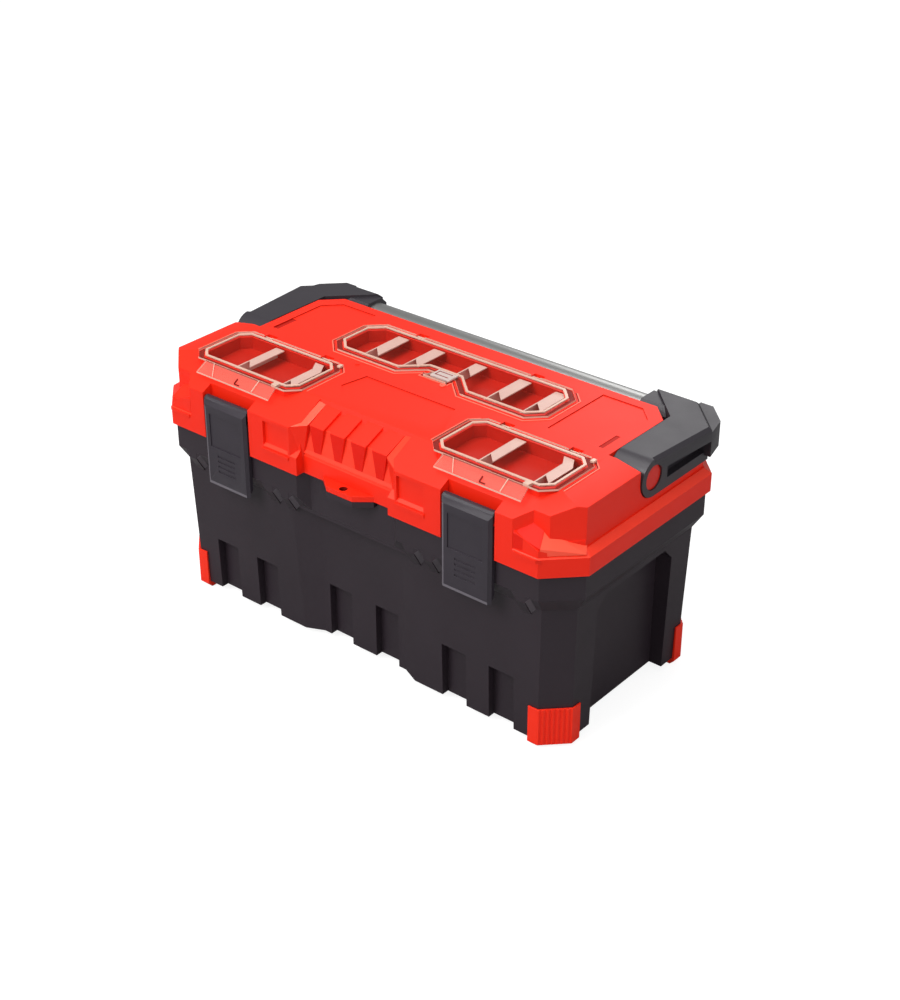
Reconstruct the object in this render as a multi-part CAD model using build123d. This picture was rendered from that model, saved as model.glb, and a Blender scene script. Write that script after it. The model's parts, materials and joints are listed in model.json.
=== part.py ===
from build123d import *
import math
import os

os.makedirs("parts", exist_ok=True)

# Frame: millimetres, +Z up, X along the length, front at -Y, origin on the floor under the middle.

# Whole box
lid_length = 554.0        # end to end over the lid's rim
lid_depth = 274.0         # front to back over the lid's rim
lid_corner = 34.0         # corner cut of the rim
rim_height = 208.0        # floor to the lid's lower edge
lid_height = 73.0         # lid's lower edge to its flat crown
seat_gap = 0.3            # clearance where one piece rests on another
fit = 0.08                # radial clearance of a pin in its hole
overlap = 1.0             # cuts run past a face, and joined pieces into it, by this much

# Tub
tub_wall = 3.2
foot_lift = 8.0           # floor to the tub's underside
collar_inset = 4.5        # collar face inside the lid's rim
collar_corner = 31.0
collar_drop = 28.0        # lid's rim down to the collar's lower edge
body_inset = 15.0         # tub wall inside the lid's rim
body_corner = 24.0
flare_height = 17.0       # height of the slope between wall and collar
tub_draft = 4.0           # how far the wall leans in by the floor
slot_width = 31.0
slot_height = 63.0
slot_depth = 8.5
slot_shares = (0.116, 0.468, 0.684)   # slots at these shares of the half length
gusset_shares = (0.305, 0.388, 0.796)   # gussets under the collar at these shares of the half length
gusset_width = 11.0
gusset_rise = 8.0         # up the collar
gusset_lip = 8.0          # below the collar's flare
gusset_drop = 26.0        # down to the wall
middle_half = 57.0        # half width of the recess in the front wall, at its back
middle_flare = 20.0       # the recess is wider at its mouth by this much each side
middle_depth = 9.0
middle_drop = 48.0        # lid's rim down to the top of this recess
end_half = 64.0           # half width of the recess in each end wall
end_depth = 19.0
end_drop = 51.0           # lid's rim down to the top of this recess
end_slope = 14.0          # the recess closes in this much towards its top

# Feet
foot_skin = 3.0           # foot stands out from the tub wall by this much
foot_height = 47.0
foot_start = 38.0         # foot starts this far in from the tub's end
foot_bevel = 5.0
foot_groove = 2.4
foot_groove_depth = 1.2
foot_grooves = 7

# Lid shell
lid_wall = 3.0
skirt_height = 20.0
ledge_rise = 6.0
ledge_run = 7.0
corner_step = 3.0         # corner cuts shrink by this much above the ledge
end_wall_inset = 8.5      # upright end wall inside the rim
front_wall_inset = 15.0   # upright front wall inside the rim
shoulder_drop = 5.5       # crown down to the top of the end walls
shoulder_run = 28.0
brow_run = 40.0           # rim's front back to the crown's front edge
rear_run = 36.0           # crown's rear edge forward of the rim's back
brow_fall = 20.5          # crown down to the top edge of the bosses
deck_inset = 46.0         # ends of the crown between the handle arms, inside the rim
deck_corner = 21.0
shelf_rise = 33.0         # lid's lower edge up to the shelf that the folded handle lies on
panel_depth = 1.0         # shallow panels in the crown
panel_half = 59.0
panel_corner = 6.0
panel_corner_drop = 12.0
panel_front = 22.0        # behind the crown's front edge
panel_length = 44.0
end_panel_gap = 12.0      # from the crown's end and rear edge
end_panel_corner = 18.0
end_panel_front = 5.0     # in front of the box's middle
crown_slot_gap = 12.0     # shallow slots beside the handle arms
crown_slot_width = 6.0
crown_slot_front = 4.0
crown_slot_length = 30.0
crown_slot_depth = 1.5
stud_radius = 2.5         # small stud in front of the rear cover
stud_height = 1.0
stud_across = 85.7
stud_ahead = 16.2

# Bosses beside the latches
boss_in = 90.0            # boss reaches this far from its latch's middle towards the box's middle
boss_out = 53.0           # and this far the other way
boss_chamfer = 9.0
boss_outer_chamfer = 14.0
niche_margin = 2.5
niche_width = 34.0
niche_depth = 3.0
niche_rise = 18.0         # lid's lower edge up to the niche
niche_drop = 4.5          # boss's top edge down to the niche
ramp_reach = 36.0         # sloped facet from the boss to the corner
ramp_height = 15.0
shoulder_gap = 2.5        # groove between the last rib and the boss's shoulder
shoulder_taper = 8.0      # shoulder narrows by this much towards its foot
bar_out = 1.2             # small ledges on the lid's front
bar_height = 4.0
bar_over = 1.0
corner_bar_in = 2.0
corner_bar_length = 30.0

# Ribs in the middle of the lid's front
rib_count = 4
rib_pitch = 27.7
rib_width = 21.0
rib_taper = 1.0           # top of a rib narrows by this much each side at the knee
rib_foot_width = 9.0
rib_lift = 1.0            # rib tops stay this much under the crown
rib_run = 4.0             # ribs leave the slope this far in front of the crown's edge
rib_knee_drop = 16.0      # crown down to the knee
rib_foot_rise = 28.0      # lid's lower edge up to the foot
middle_inset = 10.0       # skirt face in the middle, inside the rim
apron_run = 7.0           # apron's top edge in front of the crown's edge
apron_drop = 13.0         # crown down to that edge

# Padlock eye
eye_half = 17.0
eye_root_half = 34.0
eye_out = 3.5             # eye stands out from the rim by this much
eye_margin = 6.5          # middle of the hole behind the eye's edge
eye_hole = 4.25
eye_thickness = 6.0

# Lid hinge
hinge_share = 0.5415      # hinges at this share of the half length
hinge_radius = 4.0
hinge_out = 2.0           # hinge axis behind the rim's back
hinge_drop = 5.0          # lid's rim down to the hinge axis
hinge_pin = 1.6
knuckle = 15.0
knuckle_gap = 0.5
lid_knuckle = 26.0

# Latches
latch_share = 0.5776      # latches at this share of the half length
latch_width = 61.0
latch_out = 3.5           # latch face in front of the rim
latch_below = 50.0        # lid's rim down to the latch's lower edge
latch_drop = 23.0         # crown down to the latch's top
latch_bevel = 5.5
latch_bevel_drop = 8.0
latch_chamfer = 3.0       # cut along both sides of the face
latch_skin = 3.2
latch_flange = 3.0
latch_panel_margin = 9.0
latch_panel_depth = 1.0
latch_panel_height = 38.0
grip_count = 4            # grooves under a latch's panel
grip_width = 2.4
grip_pitch = 6.0
grip_depth = 0.8
grip_drop = 8.0
latch_pin = 1.5
latch_barrel = 4.0
latch_axis_back = 7.0     # latch axis behind its face
latch_axis_drop = 4.5     # latch axis below its top
latch_pin_seat = 5.0      # pin held in each boss by this much
bay_gap = 2.0             # clearance at each side of a latch
bay_depth = 9.0           # bay's back wall behind the latch axis
bay_rise = 32.0           # lid's lower edge up to the deep part of the bay
channel_depth = 5.0       # shallow part of the bay behind the rim's front
hook_height = 6.0
hook_width = 40.0
hook_gap = 0.7            # hook tip clear of the collar's face

# Handle
pivot_back = 8.0          # pivot axis behind the box's middle
arm_width = 38.0
arm_lift = 0.5            # arm's top above the crown
arm_gap = 1.0             # arm clear of the crown's side
nose_gap = 0.8
arm_flare = 7.0           # arm's outer edge is further out by this much at the elbow
arm_elbow = 97.0          # outer corner starts here
arm_inner_elbow = 91.0
arm_out = 0.5             # arm's rear edge behind the rim's back
arm_corner = 40.5
slot_deep = 8.0           # slot along the arm's outer side
slot_front = 31.0
slot_top_drop = 15.5      # arm's top down to the slot
slot_tall = 14.0
guard_out = 8.0           # guard at the rear corner stands out by this much
guard_drop = 5.5          # arm's top down to the guard's top
guard_height = 27.5
guard_side = 6.7
guard_length = 26.0
guard_end = 3.5
cap_radius = 13.0
cap_spigot = 8.0
cap_seat = 13.0
cap_sink = 1.5            # cap's face inside the arm's outer side
tube_inset = 14.2         # tube's middle in front of the rim's back
tube_drop = 18.5          # crown down to the tube's middle
tube_half_width = 16.0
tube_half_height = 13.0
tube_wall = 1.6
tube_insert = 16.0        # tube end inside each socket
socket_wall = 3.0
socket_corner = 8.0
socket_inset = 48.0       # socket's tip from the crown's end

# Organisers in the lid
bin_depth = 13.5          # crown down to the floor of the bins
bin_floor_wall = 2.4
bin_wall = 2.5
bin_inset = 9.0           # bin wall inside the cover's outline
bin_taper = 0.4           # corner cuts shrink by this share of an inset
front_bin_share = 0.581   # front covers' middle at this share of the half length
front_bin_half_share = 0.2708
front_bin_over = 15.0     # front covers reach this far over the slope
front_bin_depth_share = 0.303   # of the lid's depth
front_bin_corner = 13.0
rear_bin_half_share = 0.509
rear_bin_margin = 25.0    # rear cover in front of the crown's rear edge
rear_bin_depth_share = 0.2956
rear_bin_corner = 17.0
notch_half = 43.0
notch_tip = 18.0
notch_depth = 23.0
frame_depth = 16.0        # raised frame under a cover reaches this far down
frame_inset = 2.0
cover_thickness = 2.0
bead_width = 2.6
bead_height = 1.2
divider_thickness = 1.8
divider_drop = 2.0        # crown down to a divider's top
divider_gap = 0.15
front_dividers = (-0.27, 0.60)   # at these shares of the cover's half length
rear_dividers = (-0.709, -0.355, 0.046, 0.457, 0.784)
tab_half = 52.0
tab_top_half = 43.0
tab_fall = 9.0
tab_reach = 13.0
tab_thickness = 1.8
lug_length = 12.0
lug_radius = 2.2
lug_pin = 1.0
lug_pin_seat = 4.0
lug_gap = 0.6
lug_drop = 2.0            # crown down to a lug's axis
lug_edge = 3.2            # axis behind the cover's rear edge
lug_share = 0.55          # hinge lugs at this share of the cover's half length
clip_half = 15.0
clip_reach = 10.0
clip_drop = 9.0
clip_gap = 1.5

# Lift-out tray
tray_gap = 7.8            # tray clear of the tub's inner wall
tray_floor_drop = 80.0    # lid's rim down to the tray's floor
tray_rim_drop = 38.0
tray_wall = 2.4
tray_flange = 3.0
tray_corner = 20.0
tray_spine = 6.0
tray_handle_rise = 18.0   # lid's rim up to the top of the tray's handle
tray_handle_half = 75.0
tray_handle_splay = 30.0
tray_handle_side = 2.0
tray_handle_bar = 12.0

# Places worked out from the sizes above
half_length = lid_length / 2
half_depth = lid_depth / 2
crown_height = rim_height + lid_height
tub_top = rim_height - seat_gap
collar_low = rim_height - collar_drop
flare_low = collar_low - flare_height
collar_half_length = half_length - collar_inset
collar_half_depth = half_depth - collar_inset
body_half_length = half_length - body_inset
body_half_depth = half_depth - body_inset
middle_top = rim_height - middle_drop
end_top = rim_height - end_drop
slot_places = [share * half_length for share in slot_shares]
ledge_low = rim_height + skirt_height
ledge_high = ledge_low + ledge_rise
shelf_height = rim_height + shelf_rise
end_wall_half = half_length - end_wall_inset
front_wall_half = half_depth - front_wall_inset
crown_front = half_depth - brow_run
crown_back = half_depth - rear_run
deck_half = half_length - deck_inset
brow_height = crown_height - brow_fall
brow_slope = brow_fall / brow_run
middle_face = half_depth - middle_inset
latch_place = latch_share * half_length
latch_front = half_depth + latch_out
latch_low = rim_height - latch_below
latch_high = crown_height - latch_drop
latch_axis_y = -latch_front + latch_axis_back
latch_axis_z = latch_high - latch_axis_drop
boss_inner = latch_place - boss_in
boss_outer = latch_place + boss_out
middle_bay_half = boss_inner - boss_chamfer
rib_back = crown_front - rib_run
rib_knee_height = crown_height - rib_knee_drop
rib_foot_height = rim_height + rib_foot_rise
apron_top = crown_front + apron_run
apron_top_height = crown_height - apron_drop
eye_reach = half_depth + eye_out
eye_place = eye_reach - eye_margin
hinge_place = hinge_share * half_length
hinge_back = half_depth + hinge_out
hinge_height = rim_height - hinge_drop
arm_top = crown_height + arm_lift
arm_low = shelf_height + seat_gap
pivot_height = (arm_top + arm_low) / 2
nose_radius = (arm_top - arm_low) / 2
nose_front = pivot_back - nose_radius - nose_gap
arm_inner = deck_half + arm_gap
arm_outer = arm_inner + arm_width
arm_wide = arm_outer + arm_flare
arm_back = half_depth + arm_out
tube_back = half_depth - tube_inset
tube_height = crown_height - tube_drop
socket_tip = deck_half + arm_gap - socket_inset
bin_floor = crown_height - bin_depth
cover_low = crown_height + seat_gap
cover_top = cover_low + cover_thickness
divider_top = crown_height - divider_drop
tray_half_length = body_half_length - end_depth - tub_wall - tray_gap
tray_half_depth = body_half_depth - middle_depth - tub_wall - tray_gap
tray_floor = rim_height - tray_floor_drop
tray_rim = rim_height - tray_rim_drop
tray_handle_top = rim_height + tray_handle_rise


def block(x_low, x_high, y_low, y_high, z_low, z_high):
    """A box given by its limits."""
    size = (x_high - x_low, y_high - y_low, z_high - z_low)
    place = ((x_low + x_high) / 2, (y_low + y_high) / 2, (z_low + z_high) / 2)
    return Pos(*place) * Box(*size)


def along_x(points, x_low, x_high):
    """A prism from a (y, z) outline."""
    face = Plane.YZ.offset(x_low) * make_face(Polyline(*points, close=True))
    return extrude(face, amount=x_high - x_low, dir=(1, 0, 0))


def along_y(points, y_low, y_high):
    """A prism from an (x, z) outline."""
    face = Plane((0, y_low, 0), x_dir=(1, 0, 0), z_dir=(0, -1, 0)) * make_face(Polyline(*points, close=True))
    return extrude(face, amount=y_high - y_low, dir=(0, 1, 0))


def along_z(points, z_low, z_high):
    """A prism from an (x, y) outline."""
    face = Pos(0, 0, z_low) * make_face(Polyline(*points, close=True))
    return extrude(face, amount=z_high - z_low, dir=(0, 0, 1))


def rod_x(radius, x_low, x_high, y, z):
    """A round bar along X."""
    return Pos((x_low + x_high) / 2, y, z) * Rot(0, 90, 0) * Cylinder(radius, x_high - x_low)


def pin_seat(radius, x_low, x_high, y, z):
    """A flat-sided hole along X that grips a pin between its eight flats."""
    half = radius + fit
    corner = half * (2 - math.sqrt(2))
    return along_x([(y + a, z + b) for a, b in octagon(half, half, corner)], x_low, x_high)


def octagon(x_half, y_half, corner):
    """Corners of a rectangle with its four corners cut off."""
    return [
        (x_half - corner, -y_half), (x_half, -y_half + corner),
        (x_half, y_half - corner), (x_half - corner, y_half),
        (-x_half + corner, y_half), (-x_half, y_half - corner),
        (-x_half, -y_half + corner), (-x_half + corner, -y_half),
    ]


def ring(x_half, y_half, corner, z):
    """The same outline as a flat face at one height."""
    return Pos(0, 0, z) * make_face(Polyline(*octagon(x_half, y_half, corner), close=True))


def mirrored(points):
    """The outline's points on the +X side, followed by their mirror images."""
    return points + [(-x, y) for x, y in reversed(points)]


def both_sides(shape):
    """The shape and its mirror image across the middle of the length."""
    return shape + mirror(shape, about=Plane.YZ)


# Tub

def tub_form(skin):
    """The tub's outer form, or its inner one, a wall's thickness inside it."""
    low_half_length = body_half_length - tub_draft - skin
    low_half_depth = body_half_depth - tub_draft - skin
    low = ring(low_half_length, low_half_depth, body_corner, foot_lift + skin)
    mid = ring(body_half_length - skin, body_half_depth - skin, body_corner, flare_low + skin)
    flare = ring(collar_half_length - skin, collar_half_depth - skin, collar_corner, collar_low + skin)
    wall = loft([low, mid], ruled=True) + loft([mid, flare], ruled=True)
    return wall + extrude(flare, amount=tub_top - collar_low, dir=(0, 0, 1))


def tub_recesses(skin):
    """Everything pressed into the walls, grown by the wall's thickness where that is asked."""
    front = body_half_depth - tub_draft
    under = foot_lift - overlap
    outside = body_half_depth + overlap
    face_y = middle_face - collar_inset - skin
    bay_half = middle_bay_half - collar_inset + skin
    shapes = along_z(mirrored([
        (bay_half, -face_y), (bay_half + half_depth - face_y, -half_depth),
    ]), middle_top, tub_top + overlap)
    back_y = front - middle_depth - skin
    recess_half = middle_half + skin
    mouth = middle_flare * (outside - back_y) / middle_depth
    trough = along_z(mirrored([(recess_half, -back_y), (recess_half + mouth, -outside)]), under, tub_top)
    shapes += trough & along_x([
        (-back_y, under), (-outside, under), (-outside, middle_top + skin),
        (-face_y, middle_top + skin), (-back_y, middle_top + skin - middle_depth),
    ], -half_length, half_length)
    for place in slot_places:
        deeper = middle_depth if place < middle_half else 0
        for side in (-1, 1):
            low_x = side * place - slot_width / 2 - skin
            high_x = side * place + slot_width / 2 + skin
            top = foot_lift + slot_height + skin
            slot_y = front - slot_depth - skin
            shapes += block(low_x, high_x, -outside, -slot_y + deeper, under, top)
            shapes += block(low_x, high_x, slot_y, outside, under, top)
    half = end_half + skin
    recess = along_x([
        (-half, under), (half, under), (half, end_top - end_slope),
        (half - end_slope, end_top + skin), (-half + end_slope, end_top + skin), (-half, end_top - end_slope),
    ], body_half_length - end_depth - skin, half_length)
    return shapes + both_sides(recess)


def tub():
    body = tub_form(0) - tub_recesses(0)
    hollow = tub_form(tub_wall) - tub_recesses(tub_wall)
    body -= hollow
    body += gussets()
    body += base_knuckles()
    body += eye_plate(tub_top - eye_thickness, tub_top)
    return body - eye_bore()


def gussets():
    """Short gussets under the front of the collar."""
    top = collar_low + gusset_rise
    shapes = Part()
    for share in gusset_shares:
        x = share * half_length
        shapes += along_x([
            (-collar_half_depth, top), (-collar_half_depth, collar_low - gusset_lip),
            (-body_half_depth, collar_low - gusset_drop), (-body_half_depth, top),
        ], x - gusset_width / 2, x + gusset_width / 2)
    return both_sides(shapes)


def eye_plate(z_low, z_high):
    """The flat tongue that a padlock goes through."""
    root = -middle_face + collar_inset + overlap
    return along_z(mirrored([
        (eye_half, -eye_reach), (eye_root_half, -middle_face), (eye_root_half, root),
    ]), z_low, z_high)


def eye_bore():
    return Pos(0, -eye_place, rim_height) * Cylinder(eye_hole, 4 * eye_thickness)


# Lid hinge

def hinge_stations(low, high):
    """Lengths along the hinge axis, for both hinges."""
    return [(side * hinge_place + low, side * hinge_place + high) for side in (-1, 1)]


def base_knuckles():
    shapes = Part()
    inner = lid_knuckle / 2 + knuckle_gap
    root = collar_half_depth - tub_wall / 2
    for low, high in hinge_stations(inner, inner + knuckle) + hinge_stations(-inner - knuckle, -inner):
        shapes += rod_x(hinge_radius, low, high, hinge_back, hinge_height)
        shapes += along_x([
            (root, hinge_height + hinge_radius), (hinge_back, hinge_height + hinge_radius),
            (hinge_back, hinge_height - hinge_radius), (root, hinge_height - 2 * hinge_radius),
        ], low, high)
        shapes -= pin_seat(hinge_pin, low, high, hinge_back, hinge_height)
    return shapes


def lid_knuckles():
    shapes = Part()
    for low, high in hinge_stations(-lid_knuckle / 2, lid_knuckle / 2):
        shapes += rod_x(hinge_radius, low, high, hinge_back, hinge_height)
        shapes += block(low, high, half_depth - lid_wall / 2, hinge_back + hinge_radius,
                        hinge_height, rim_height + skirt_height / 2)
        shapes -= rod_x(hinge_pin + fit, low, high, hinge_back, hinge_height)
    return shapes


def hinge_pins():
    span = lid_knuckle / 2 + knuckle_gap + knuckle
    shapes = Part()
    for low, high in hinge_stations(-span, span):
        shapes += rod_x(hinge_pin, low, high, hinge_back, hinge_height)
    return shapes


# Feet

def foot():
    """Front right corner guard: a skin round the tub's corner with a pad under it."""
    low_half_length = body_half_length - tub_draft + foot_skin
    low_half_depth = body_half_depth - tub_draft + foot_skin
    tip = ring(low_half_length - foot_bevel, low_half_depth - foot_bevel, body_corner, 0)
    low = ring(low_half_length, low_half_depth, body_corner, foot_bevel)
    form = loft([tip, low], ruled=True) + extrude(low, amount=foot_height - foot_bevel, dir=(0, 0, 1))
    corner = block(body_half_length - foot_start, half_length, -half_depth,
                   -body_half_depth + foot_start, 0, foot_height)
    solid = (form & corner) - tub_form(-seat_gap / 2)
    middle_x = low_half_length - body_corner / 2
    middle_y = -low_half_depth + body_corner / 2
    pitch = body_corner * math.sqrt(2) / foot_grooves
    for i in range(foot_grooves):
        along = (i - (foot_grooves - 1) / 2) * pitch
        place = Pos(middle_x, middle_y, foot_height / 2) * Rot(0, 0, 45) * Pos(along, 0, 0)
        solid -= place * Box(foot_groove, 2 * foot_groove_depth, foot_height)
    return solid


# Lid shell

def brow(y):
    """Height of the slope in front of the crown."""
    return crown_height - (-y - crown_front) * brow_slope


def deck_outline(skin):
    """Upper part of the lid seen from above, with the handle's shelf left out, a skin inside."""
    cut = body_corner + skin / 3
    rear_cut = deck_corner + skin / 3
    step_y = nose_front - skin if skin else pivot_back
    front = front_wall_half - skin
    end = end_wall_half - skin
    inner = deck_half - skin
    back = crown_back - skin
    return mirrored([
        (end - cut, -front), (end, -front + cut), (end, step_y), (inner, step_y),
        (inner, back - rear_cut), (inner - rear_cut, back),
    ])


def lid_form():
    """The lid's outer form without its bosses and ribs."""
    rim = ring(half_length, half_depth, lid_corner, rim_height)
    skirt = extrude(rim, amount=skirt_height, dir=(0, 0, 1))
    ledge = loft([
        ring(half_length, half_depth, lid_corner, ledge_low),
        ring(half_length - ledge_run, half_depth - ledge_run, lid_corner - corner_step, ledge_high),
    ], ruled=True)
    plan = along_z(octagon(end_wall_half, half_depth - ledge_run, lid_corner - corner_step),
                   ledge_high, shelf_height)
    deck = along_z(deck_outline(0), shelf_height, crown_height)
    side_view = along_x([
        (-front_wall_half, shelf_height), (-front_wall_half, brow(-front_wall_half)),
        (-crown_front, crown_height), (crown_back, crown_height), (crown_back, shelf_height),
    ], -end_wall_half, end_wall_half)
    shoulder = crown_height - shoulder_drop
    front_view = along_y(mirrored([
        (end_wall_half, shelf_height), (end_wall_half, shoulder), (end_wall_half - shoulder_run, crown_height),
    ]), -half_depth, half_depth)
    upper = deck & side_view & front_view
    nose = rod_x(nose_radius + nose_gap, deck_half, half_length, pivot_back, pivot_height)
    nose += block(deck_half, half_length, nose_front, pivot_back, pivot_height, crown_height + overlap)
    return skirt + ledge + plan + upper - both_sides(nose)


def crown_panels():
    """Shallow panels in the crown: one in the middle and one at each end."""
    low = crown_height - panel_depth
    front = -crown_front + panel_front
    middle = along_z(mirrored([
        (panel_half - panel_corner, front), (panel_half + panel_corner, front + panel_corner_drop),
        (panel_half, front + panel_length),
    ]), low, crown_height + overlap)
    inner = rear_half + end_panel_gap
    outer = deck_half - end_panel_gap
    back = crown_back - end_panel_gap
    end = along_z([
        (inner, -end_panel_front), (outer, -end_panel_front), (outer, back - end_panel_corner),
        (outer - end_panel_corner, back), (inner, back),
    ], low, crown_height + overlap)
    return middle + both_sides(end)


def boss():
    """Right boss: a sloped block beside the latch, with its niche and the facet to the corner."""
    back = -front_wall_half + overlap
    high = boss_outer + boss_outer_chamfer
    plan = along_z([
        (middle_bay_half, back), (middle_bay_half, -middle_face), (boss_inner, -half_depth),
        (boss_outer, -half_depth), (high, back),
    ], rim_height, crown_height)
    slope = along_x([
        (-crown_front, rim_height), (-half_depth, rim_height), (-half_depth, brow_height),
        (-crown_front, crown_height),
    ], middle_bay_half, high)
    niche_low_x = boss_inner + niche_margin
    niche = block(niche_low_x, niche_low_x + niche_width, -half_depth, -half_depth + niche_depth,
                  rim_height + niche_rise, brow_height - niche_drop)
    ramp = along_y([
        (boss_outer, ledge_low), (boss_outer, ledge_high + ramp_height),
        (boss_outer + ramp_reach, ledge_high), (boss_outer + ramp_reach, ledge_low),
    ], -half_depth, back)
    ramp &= along_z(octagon(half_length - overlap, half_depth - overlap, lid_corner), rim_height, crown_height)
    return (plan & slope) - niche + ramp


def latch_bay(skin):
    """Space in the lid's front for the right latch, grown by a wall where that is asked."""
    half = latch_width / 2 + bay_gap + skin
    low, high = latch_place - half, latch_place + half
    deep = block(low, high, -half_depth - overlap, latch_axis_y + bay_depth + skin,
                 rim_height + bay_rise - skin, crown_height)
    return deep + block(low, high, -half_depth - overlap, -half_depth + channel_depth + skin,
                        rim_height - overlap, crown_height)


def rib(x):
    """One upright rib: sloped top, knee, and a front face that narrows to its foot."""
    face = middle_face - rib_lift
    side = along_x([
        (-rib_back, crown_height - rib_lift), (-face, rib_knee_height), (-face, rib_foot_height),
        (-apron_top, rib_foot_height), (-rib_back, apron_top_height),
    ], x - rib_width, x + rib_width)
    knee_half = rib_width / 2 - rib_taper
    front = along_y([
        (x - rib_width / 2, crown_height), (x + rib_width / 2, crown_height),
        (x + knee_half, rib_knee_height), (x + rib_foot_width / 2, rib_foot_height),
        (x - rib_foot_width / 2, rib_foot_height), (x - knee_half, rib_knee_height),
    ], -half_depth, -rib_back)
    return side & front


def shoulder():
    """Right boss's shoulder: its slope carried on towards the ribs, narrower at the foot."""
    inner = (rib_count - 1) / 2 * rib_pitch + rib_width / 2 + shoulder_gap
    face = middle_face - rib_lift
    side = along_x([
        (-rib_back, crown_height - rib_lift), (-face, rib_knee_height), (-face, rib_foot_height),
        (-apron_top, rib_foot_height), (-rib_back, apron_top_height),
    ], inner, boss_inner)
    front = along_y([
        (inner, crown_height), (inner, rib_knee_height), (inner + shoulder_taper, rib_foot_height),
        (boss_inner, rib_foot_height), (boss_inner, crown_height),
    ], -half_depth, -rib_back)
    return side & front


def front_bars():
    """Small raised ledges under the right boss's niche and beside the corner."""
    niche_low_x = boss_inner + niche_margin
    top = rim_height + niche_rise
    bars = block(niche_low_x - bar_over, niche_low_x + niche_width + bar_over, -half_depth - bar_out,
                 -half_depth + overlap, top - bar_height, top)
    corner_x = boss_outer + corner_bar_in
    return bars + block(corner_x, corner_x + corner_bar_length, -half_depth - bar_out,
                        -half_depth + overlap, ledge_low - bar_height, ledge_low)


def crown_slot():
    """Shallow slot in the crown beside the right arm."""
    high = deck_half - crown_slot_gap
    return block(high - crown_slot_width, high, -crown_slot_front, -crown_slot_front + crown_slot_length,
                 crown_height - crown_slot_depth, crown_height + overlap)


def middle_cut(skin):
    """What is taken away in front of the apron between the two bosses."""
    low = rim_height - overlap
    return along_x([
        (-half_depth - overlap, low), (-middle_face + skin, low), (-middle_face + skin, ledge_low),
        (-middle_face + skin + corner_step, ledge_high), (-apron_top + skin, apron_top_height),
        (-crown_front + skin, crown_height + overlap), (-half_depth - overlap, crown_height + overlap),
    ], -middle_bay_half - skin, middle_bay_half + skin)


# Each organiser: middle, half length, front edge, rear edge, corner cut, notched or not
front_middle = front_bin_share * half_length
front_half = front_bin_half_share * half_length
front_low = -crown_front - front_bin_over
front_high = front_low + front_bin_depth_share * lid_depth
rear_half = rear_bin_half_share * half_length
rear_high = crown_back - rear_bin_margin
rear_low = rear_high - rear_bin_depth_share * lid_depth
organisers = {
    "front_left": (-front_middle, front_half, front_low, front_high, front_bin_corner, False),
    "front_right": (front_middle, front_half, front_low, front_high, front_bin_corner, False),
    "rear": (0.0, rear_half, rear_low, rear_high, rear_bin_corner, True),
}


def organiser_outline(x_half, y_low, y_high, corner, inset, notch):
    """Outline of a cover or of the bin under it, with a notch at the front where asked."""
    right = x_half - inset
    low, high = y_low + inset, y_high - inset
    cut = corner - inset * bin_taper
    spread = inset * bin_taper
    points = []
    if notch:
        points += [(notch_tip + spread, low + notch_depth), (notch_half + spread, low)]
    points += [(right - cut, low), (right, low + cut), (right, high - cut), (right - cut, high)]
    return mirrored(points)


def organiser_prism(name, inset, z_low, z_high):
    middle, x_half, y_low, y_high, corner, notch = organisers[name]
    return Pos(middle, 0, 0) * along_z(
        organiser_outline(x_half, y_low, y_high, corner, inset, notch), z_low, z_high)


def lug_places(name):
    middle, x_half = organisers[name][0:2]
    return [middle - x_half * lug_share, middle + x_half * lug_share]


def lug_axis(name):
    """Axis of a cover's hinge, along X."""
    return organisers[name][3] + lug_edge, crown_height - lug_drop


def lug_pocket(name, x):
    """Room in the lid round one hinge lug, wide enough for it to turn."""
    y, z = lug_axis(name)
    half = lug_length / 2 + lug_gap
    front = y - lug_edge - overlap - lug_gap
    back = y + cover_top - z + lug_gap
    return block(x - half, x + half, front, back, z - lug_radius - lug_gap, cover_top)


def lug_block(name, x):
    """Material in the lid that holds one lug's pin."""
    y, z = lug_axis(name)
    half = lug_length / 2 + lug_gap + lug_pin_seat
    reach = cover_top - z + lug_gap + lid_wall
    return block(x - half, x + half, y - reach, y + reach, z - lug_radius - lug_gap - lid_wall, crown_height)


def clip_well(skin):
    """Pocket for the rear cover's clip, or the block round it where a wall is asked."""
    half = clip_half + clip_gap + skin
    back = rear_low + notch_depth - clip_reach
    top = crown_height if skin else crown_height + overlap
    return block(-half, half, back - tab_thickness - clip_gap - skin, back + clip_gap + skin,
                 cover_top - clip_drop - clip_gap - skin, top)


def boss_hollows():
    """Space inside both bosses, clear of the niche and of the latch pin's seats."""
    seat = latch_width / 2 + bay_gap + 2 * latch_pin_seat
    front = -half_depth + lid_wall + niche_depth
    back = -front_wall_half + lid_wall + overlap
    shapes = Part()
    for low, high in ((boss_inner + lid_wall, latch_place - seat), (latch_place + seat, boss_outer - lid_wall)):
        if high - low > lid_wall:
            shapes += both_sides(block(low, high, front, back, ledge_low - lid_wall, brow_height - lid_wall))
    return shapes


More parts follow.
